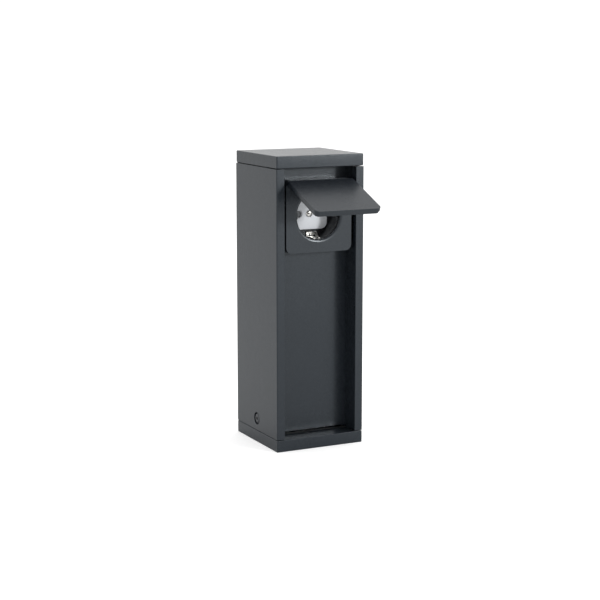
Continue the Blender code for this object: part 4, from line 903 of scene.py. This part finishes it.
class PILLAR_OT_fasteners(bpy.types.Operator):
    """Make every screw from one tree, and round the nuts"""

    bl_idname = "pillar.make_fasteners"
    bl_label = "Screws and nuts"

    def execute(self, context):
        sides = ("left", "right")
        outward = [(-1, 0, 0), (1, 0, 0)]
        rear = (0, 1, 0)
        up = (0, 0, 1)
        poles = ("live", "neutral", "earth")
        clamps = [f"{pole}_{place}_screw" for pole in poles for place in ("lower", "upper")]
        contacts = [f"{pole}_contact_screw" for pole in poles]
        corners = numbered("frame_screw", range(1, 5))
        blocks = numbered("block_screw", sides)
        # piece name, nodes, facings, and in millimetres: head radius and height,
        # shank radius and length, drive width and depth
        like_screws = (
            ("side_screws", numbered("side_screw", sides), outward, (3.74, 1.1), (1.9, 8.2), (2.8, 0.9)),
            ("foot_screws", numbered("foot_screw", sides), [up] * 2, (3.55, 2.2), (1.9, 7.5), (0.9, 1.0)),
            ("frame_screws", corners, [rear] * len(corners), (2.75, 1.8), (1.5, 15.4), (0.8, 0.8)),
            ("centre_screw_finished", ["centre_screw"], [(0, -1, 0)], (2.66, 1.6), (1.5, 13.9), (0.8, 0.7)),
            ("earth_screw_finished", ["earth_screw"], [up], (3.15, 2.0), (1.9, 8.1), (0.9, 0.9)),
            ("contact_screws", contacts, [rear] * 3, (2.17, 1.3), (1.2, 1.8), (0.6, 0.6)),
            ("clamp_screws", clamps, [rear] * len(clamps), (1.48, 0.9), (1.2, 2.6), (0.5, 0.4)),
            ("block_screws", blocks, [rear] * len(blocks), (2.17, 1.3), (1.2, 16.3), (0.6, 0.6)),
        )
        for name, nodes, facings, head, shank, drive in like_screws:
            screws(name, nodes, facings, head, shank, drive, hexagon=name == "side_screws")
        for side in sides:
            refined(f"side_nut_{side}", PILLAR, 0.0002, 2)
        return {"FINISHED"}


class PILLAR_OT_gland(bpy.types.Operator):
    """Make the cable gland, with grip ribs round its nut"""

    bl_idname = "pillar.make_gland"
    bl_label = "Cable gland"

    def execute(self, context):
        low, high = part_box("gland_nut")
        centre = (low + high) / 2
        rib_height = 7.0 * MM
        start = mesh_object("gland_ribs_start", bpy.data.meshes.new("start"))
        radius = (high.x - low.x) / 2
        depth = 0.35 * MM
        ribs = grown(
            start,
            TREES["ribs"],
            "gland_nut_ribs",
            radius=radius - depth,
            count=30,
            rib_size=(2 * depth, 0.9 * MM, rib_height),
            material=MATERIALS["black_plastic"],
        )
        ribs.data.transform(Matrix.Translation((centre.x, centre.y, low.z + rib_height / 2)))
        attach(ribs, PILLAR)
        refined("gland_body", PILLAR, 0.0003, 2)
        dress_cad("gland_nut", "gland_seal")
        return {"FINISHED"}


WIRE_RADIUS = 1.2
TERMINAL_HALF_DEPTH = 3.5
LUG_BARREL_RADIUS = 2.1


def inner_wire_route(word):
    """From a contact's terminal, out of the housing, down and into its tube in the terminal block."""
    start = sum(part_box(f"{word}_contact_screw"), Vector()) / (2 * MM)
    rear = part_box("live_contact")[1].y / MM - TERMINAL_HALF_DEPTH
    pole = sum(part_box(f"{word}_tube"), Vector()) / (2 * MM)
    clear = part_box("socket_housing")[0].z / MM - 4.0
    block_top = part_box("terminal_block")[1].z / MM
    span = clear - block_top
    sway = 1.35 * start.x if abs(start.x) > 1.0 else 2.0
    return smooth_route([
        (start.x, rear, start.z - 1.0),
        (start.x, rear, clear + 4.0),
        (start.x, rear, clear),
        (sway, rear + 4.0, clear - 0.35 * span),
        (sway, pole.y + 4.0, block_top + 0.35 * span),
        (pole.x, pole.y, block_top + 9.0),
        (pole.x, pole.y, block_top + 4.0),
        (pole.x, pole.y, block_top - 3.0),
    ])


def earth_link_route():
    """From the lug on the bracket, up in a loop and into the terminal block from below."""
    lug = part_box("earth_lug")[1] / MM
    end = lug.x - 2.8
    level = lug.z - LUG_BARREL_RADIUS
    pole = sum(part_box("earth_tube"), Vector()) / (2 * MM)
    block_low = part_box("terminal_block")[0].z / MM
    return smooth_route([
        (end, 0, level),
        (end + 5.0, 0, level),
        (end + 9.0, 0.4, level + 2.5),
        (end + 8.0, 1.2, level + 9.0),
        (1.2, pole.y, block_low - 6.0),
        (0, pole.y, block_low - 2.5),
        (0, pole.y, block_low + 3.0),
    ])


def dressed_wire(node, route):
    piece = grown(
        path_object(route), TREES["tube"], node + "_finished", radius=WIRE_RADIUS * MM,
        material=MATERIALS[slot_of(node)],
    )
    smooth_shaded(piece, 60)
    stand_for(piece, PILLAR, node)


class PILLAR_OT_wiring(bpy.types.Operator):
    """Make the terminal block, the bracket and the wires"""

    bl_idname = "pillar.make_wiring"
    bl_label = "Bracket and wiring"

    def execute(self, context):
        refined("base_bracket", PILLAR, 0.0003, 2)
        refined("terminal_block", PILLAR, 0.0003, 2)
        refined("earth_lug", PILLAR, 0.0001, 2)
        dress_cad("live_tube", "neutral_tube", "earth_tube")
        for word in ("live", "neutral", "earth"):
            dressed_wire(f"{word}_wire", inner_wire_route(word))
        dressed_wire("earth_link", earth_link_route())
        return {"FINISHED"}


# ---------------------------------------------------------------- stage


def area_light(name, place, target, size, power, colour=(1.0, 1.0, 1.0)):
    data = bpy.data.lights.new(name, "AREA")
    data.shape = "DISK"
    data.size = size
    data.energy = power
    data.color = colour
    obj = bpy.data.objects.new(name, data)
    obj.location = place
    obj.rotation_euler = (Vector(target) - Vector(place)).to_track_quat("-Z", "Y").to_euler()
    bpy.context.scene.collection.objects.link(obj)
    return obj


def toward(azimuth, elevation):
    """Unit vector towards a place at an azimuth, from the front to the right, and an elevation."""
    a = math.radians(azimuth)
    e = math.radians(elevation)
    return Vector((math.sin(a) * math.cos(e), -math.cos(a) * math.cos(e), math.sin(e)))


FLOOR_LIFT = 0.35


class PILLAR_OT_stage(bpy.types.Operator):
    """Make the floor, the white surround, the soft lights and the camera"""

    bl_idname = "pillar.make_stage"
    bl_label = "Studio"

    def execute(self, context):
        scene = context.scene
        settings = stage_settings()
        bpy.ops.mesh.primitive_plane_add(size=40.0, location=(0, 0, 0))
        floor = context.active_object
        floor.name = "studio_floor"
        material, tree, shader = blank_material("floor_paper")
        tone = place_group(tree, "Slow drift", object_place(tree), scale=1.5, low=0.99, high=1.01)
        paper = toned(tree, tuple(settings.floor_colour), tone.outputs["Factor"])
        link(tree, paper, shader.inputs["Base Color"])
        shader.inputs["Roughness"].default_value = 0.9
        shader.inputs["Specular IOR Level"].default_value = 0.1
        shader.inputs["Emission Color"].default_value = (1.0, 1.0, 1.0, 1.0)
        seen = add_node(tree, "ShaderNodeLightPath")
        lift = maths(tree, "MULTIPLY", seen.outputs["Is Camera Ray"], FLOOR_LIFT)
        link(tree, lift, shader.inputs["Emission Strength"])
        dress(floor, material)

        world = bpy.data.worlds.new("white_surround")
        world.use_nodes = True
        background = world.node_tree.nodes["Background"]
        background.inputs["Color"].default_value = (1.0, 1.0, 1.0, 1.0)
        background.inputs["Strength"].default_value = settings.surround
        scene.world = world
        scene.view_settings.view_transform = "Standard"

        middle = Vector((0, 0, 0.19))
        area_light("key_light", middle + toward(31.0, 11.0) * 1.6, middle, 0.22, settings.key_power)
        area_light("overhead_light", (0.0, 0.3, 2.4), (0, 0, 0), 2.2, settings.overhead_power)

        camera_data = bpy.data.cameras.new("camera")
        camera_data.lens = settings.lens
        camera_data.sensor_width = 36.0
        camera_data.clip_end = 100.0
        camera = bpy.data.objects.new("camera", camera_data)
        camera.location = (-0.5613, -1.1296, 0.3356)
        look = -toward(-26.46, 9.73)
        camera.rotation_euler = look.to_track_quat("-Z", "Y").to_euler()
        scene.collection.objects.link(camera)
        scene.camera = camera
        return {"FINISHED"}


class PILLAR_PT_panel(bpy.types.Panel):
    """Lists the pillar's settings and its steps"""

    bl_label = "Power pillar"
    bl_idname = "PILLAR_PT_panel"
    bl_space_type = "VIEW_3D"
    bl_region_type = "UI"
    bl_category = "Pillar"

    def draw(self, context):
        for group in (finishes(), edges(), stage_settings()):
            box = self.layout.box()
            for name in group.__annotations__:
                box.prop(group, name)
        for operator in STEPS:
            self.layout.operator(operator.bl_idname)


STEPS = (
    PILLAR_OT_stage,
    PILLAR_OT_post,
    PILLAR_OT_socket,
    PILLAR_OT_flap,
    PILLAR_OT_fasteners,
    PILLAR_OT_gland,
    PILLAR_OT_wiring,
)
SETTINGS = {
    "pillar_finish": PillarFinishSettings,
    "pillar_edge": PillarEdgeSettings,
    "pillar_stage": PillarStageSettings,
}


def register():
    for group in SETTINGS.values():
        bpy.utils.register_class(group)
    for name, group in SETTINGS.items():
        setattr(bpy.types.Scene, name, PointerProperty(type=group))
    for operator in STEPS:
        bpy.utils.register_class(operator)
    bpy.utils.register_class(PILLAR_PT_panel)


def unregister():
    bpy.utils.unregister_class(PILLAR_PT_panel)
    for operator in reversed(STEPS):
        bpy.utils.unregister_class(operator)
    for name in SETTINGS:
        delattr(bpy.types.Scene, name)
    for group in reversed(SETTINGS.values()):
        bpy.utils.unregister_class(group)


def main():
    register()
    make_materials()
    make_trees()
    for step in STEPS:
        family, action = step.bl_idname.split(".")
        getattr(getattr(bpy.ops, family), action)()


if __name__ == "__main__":
    main()
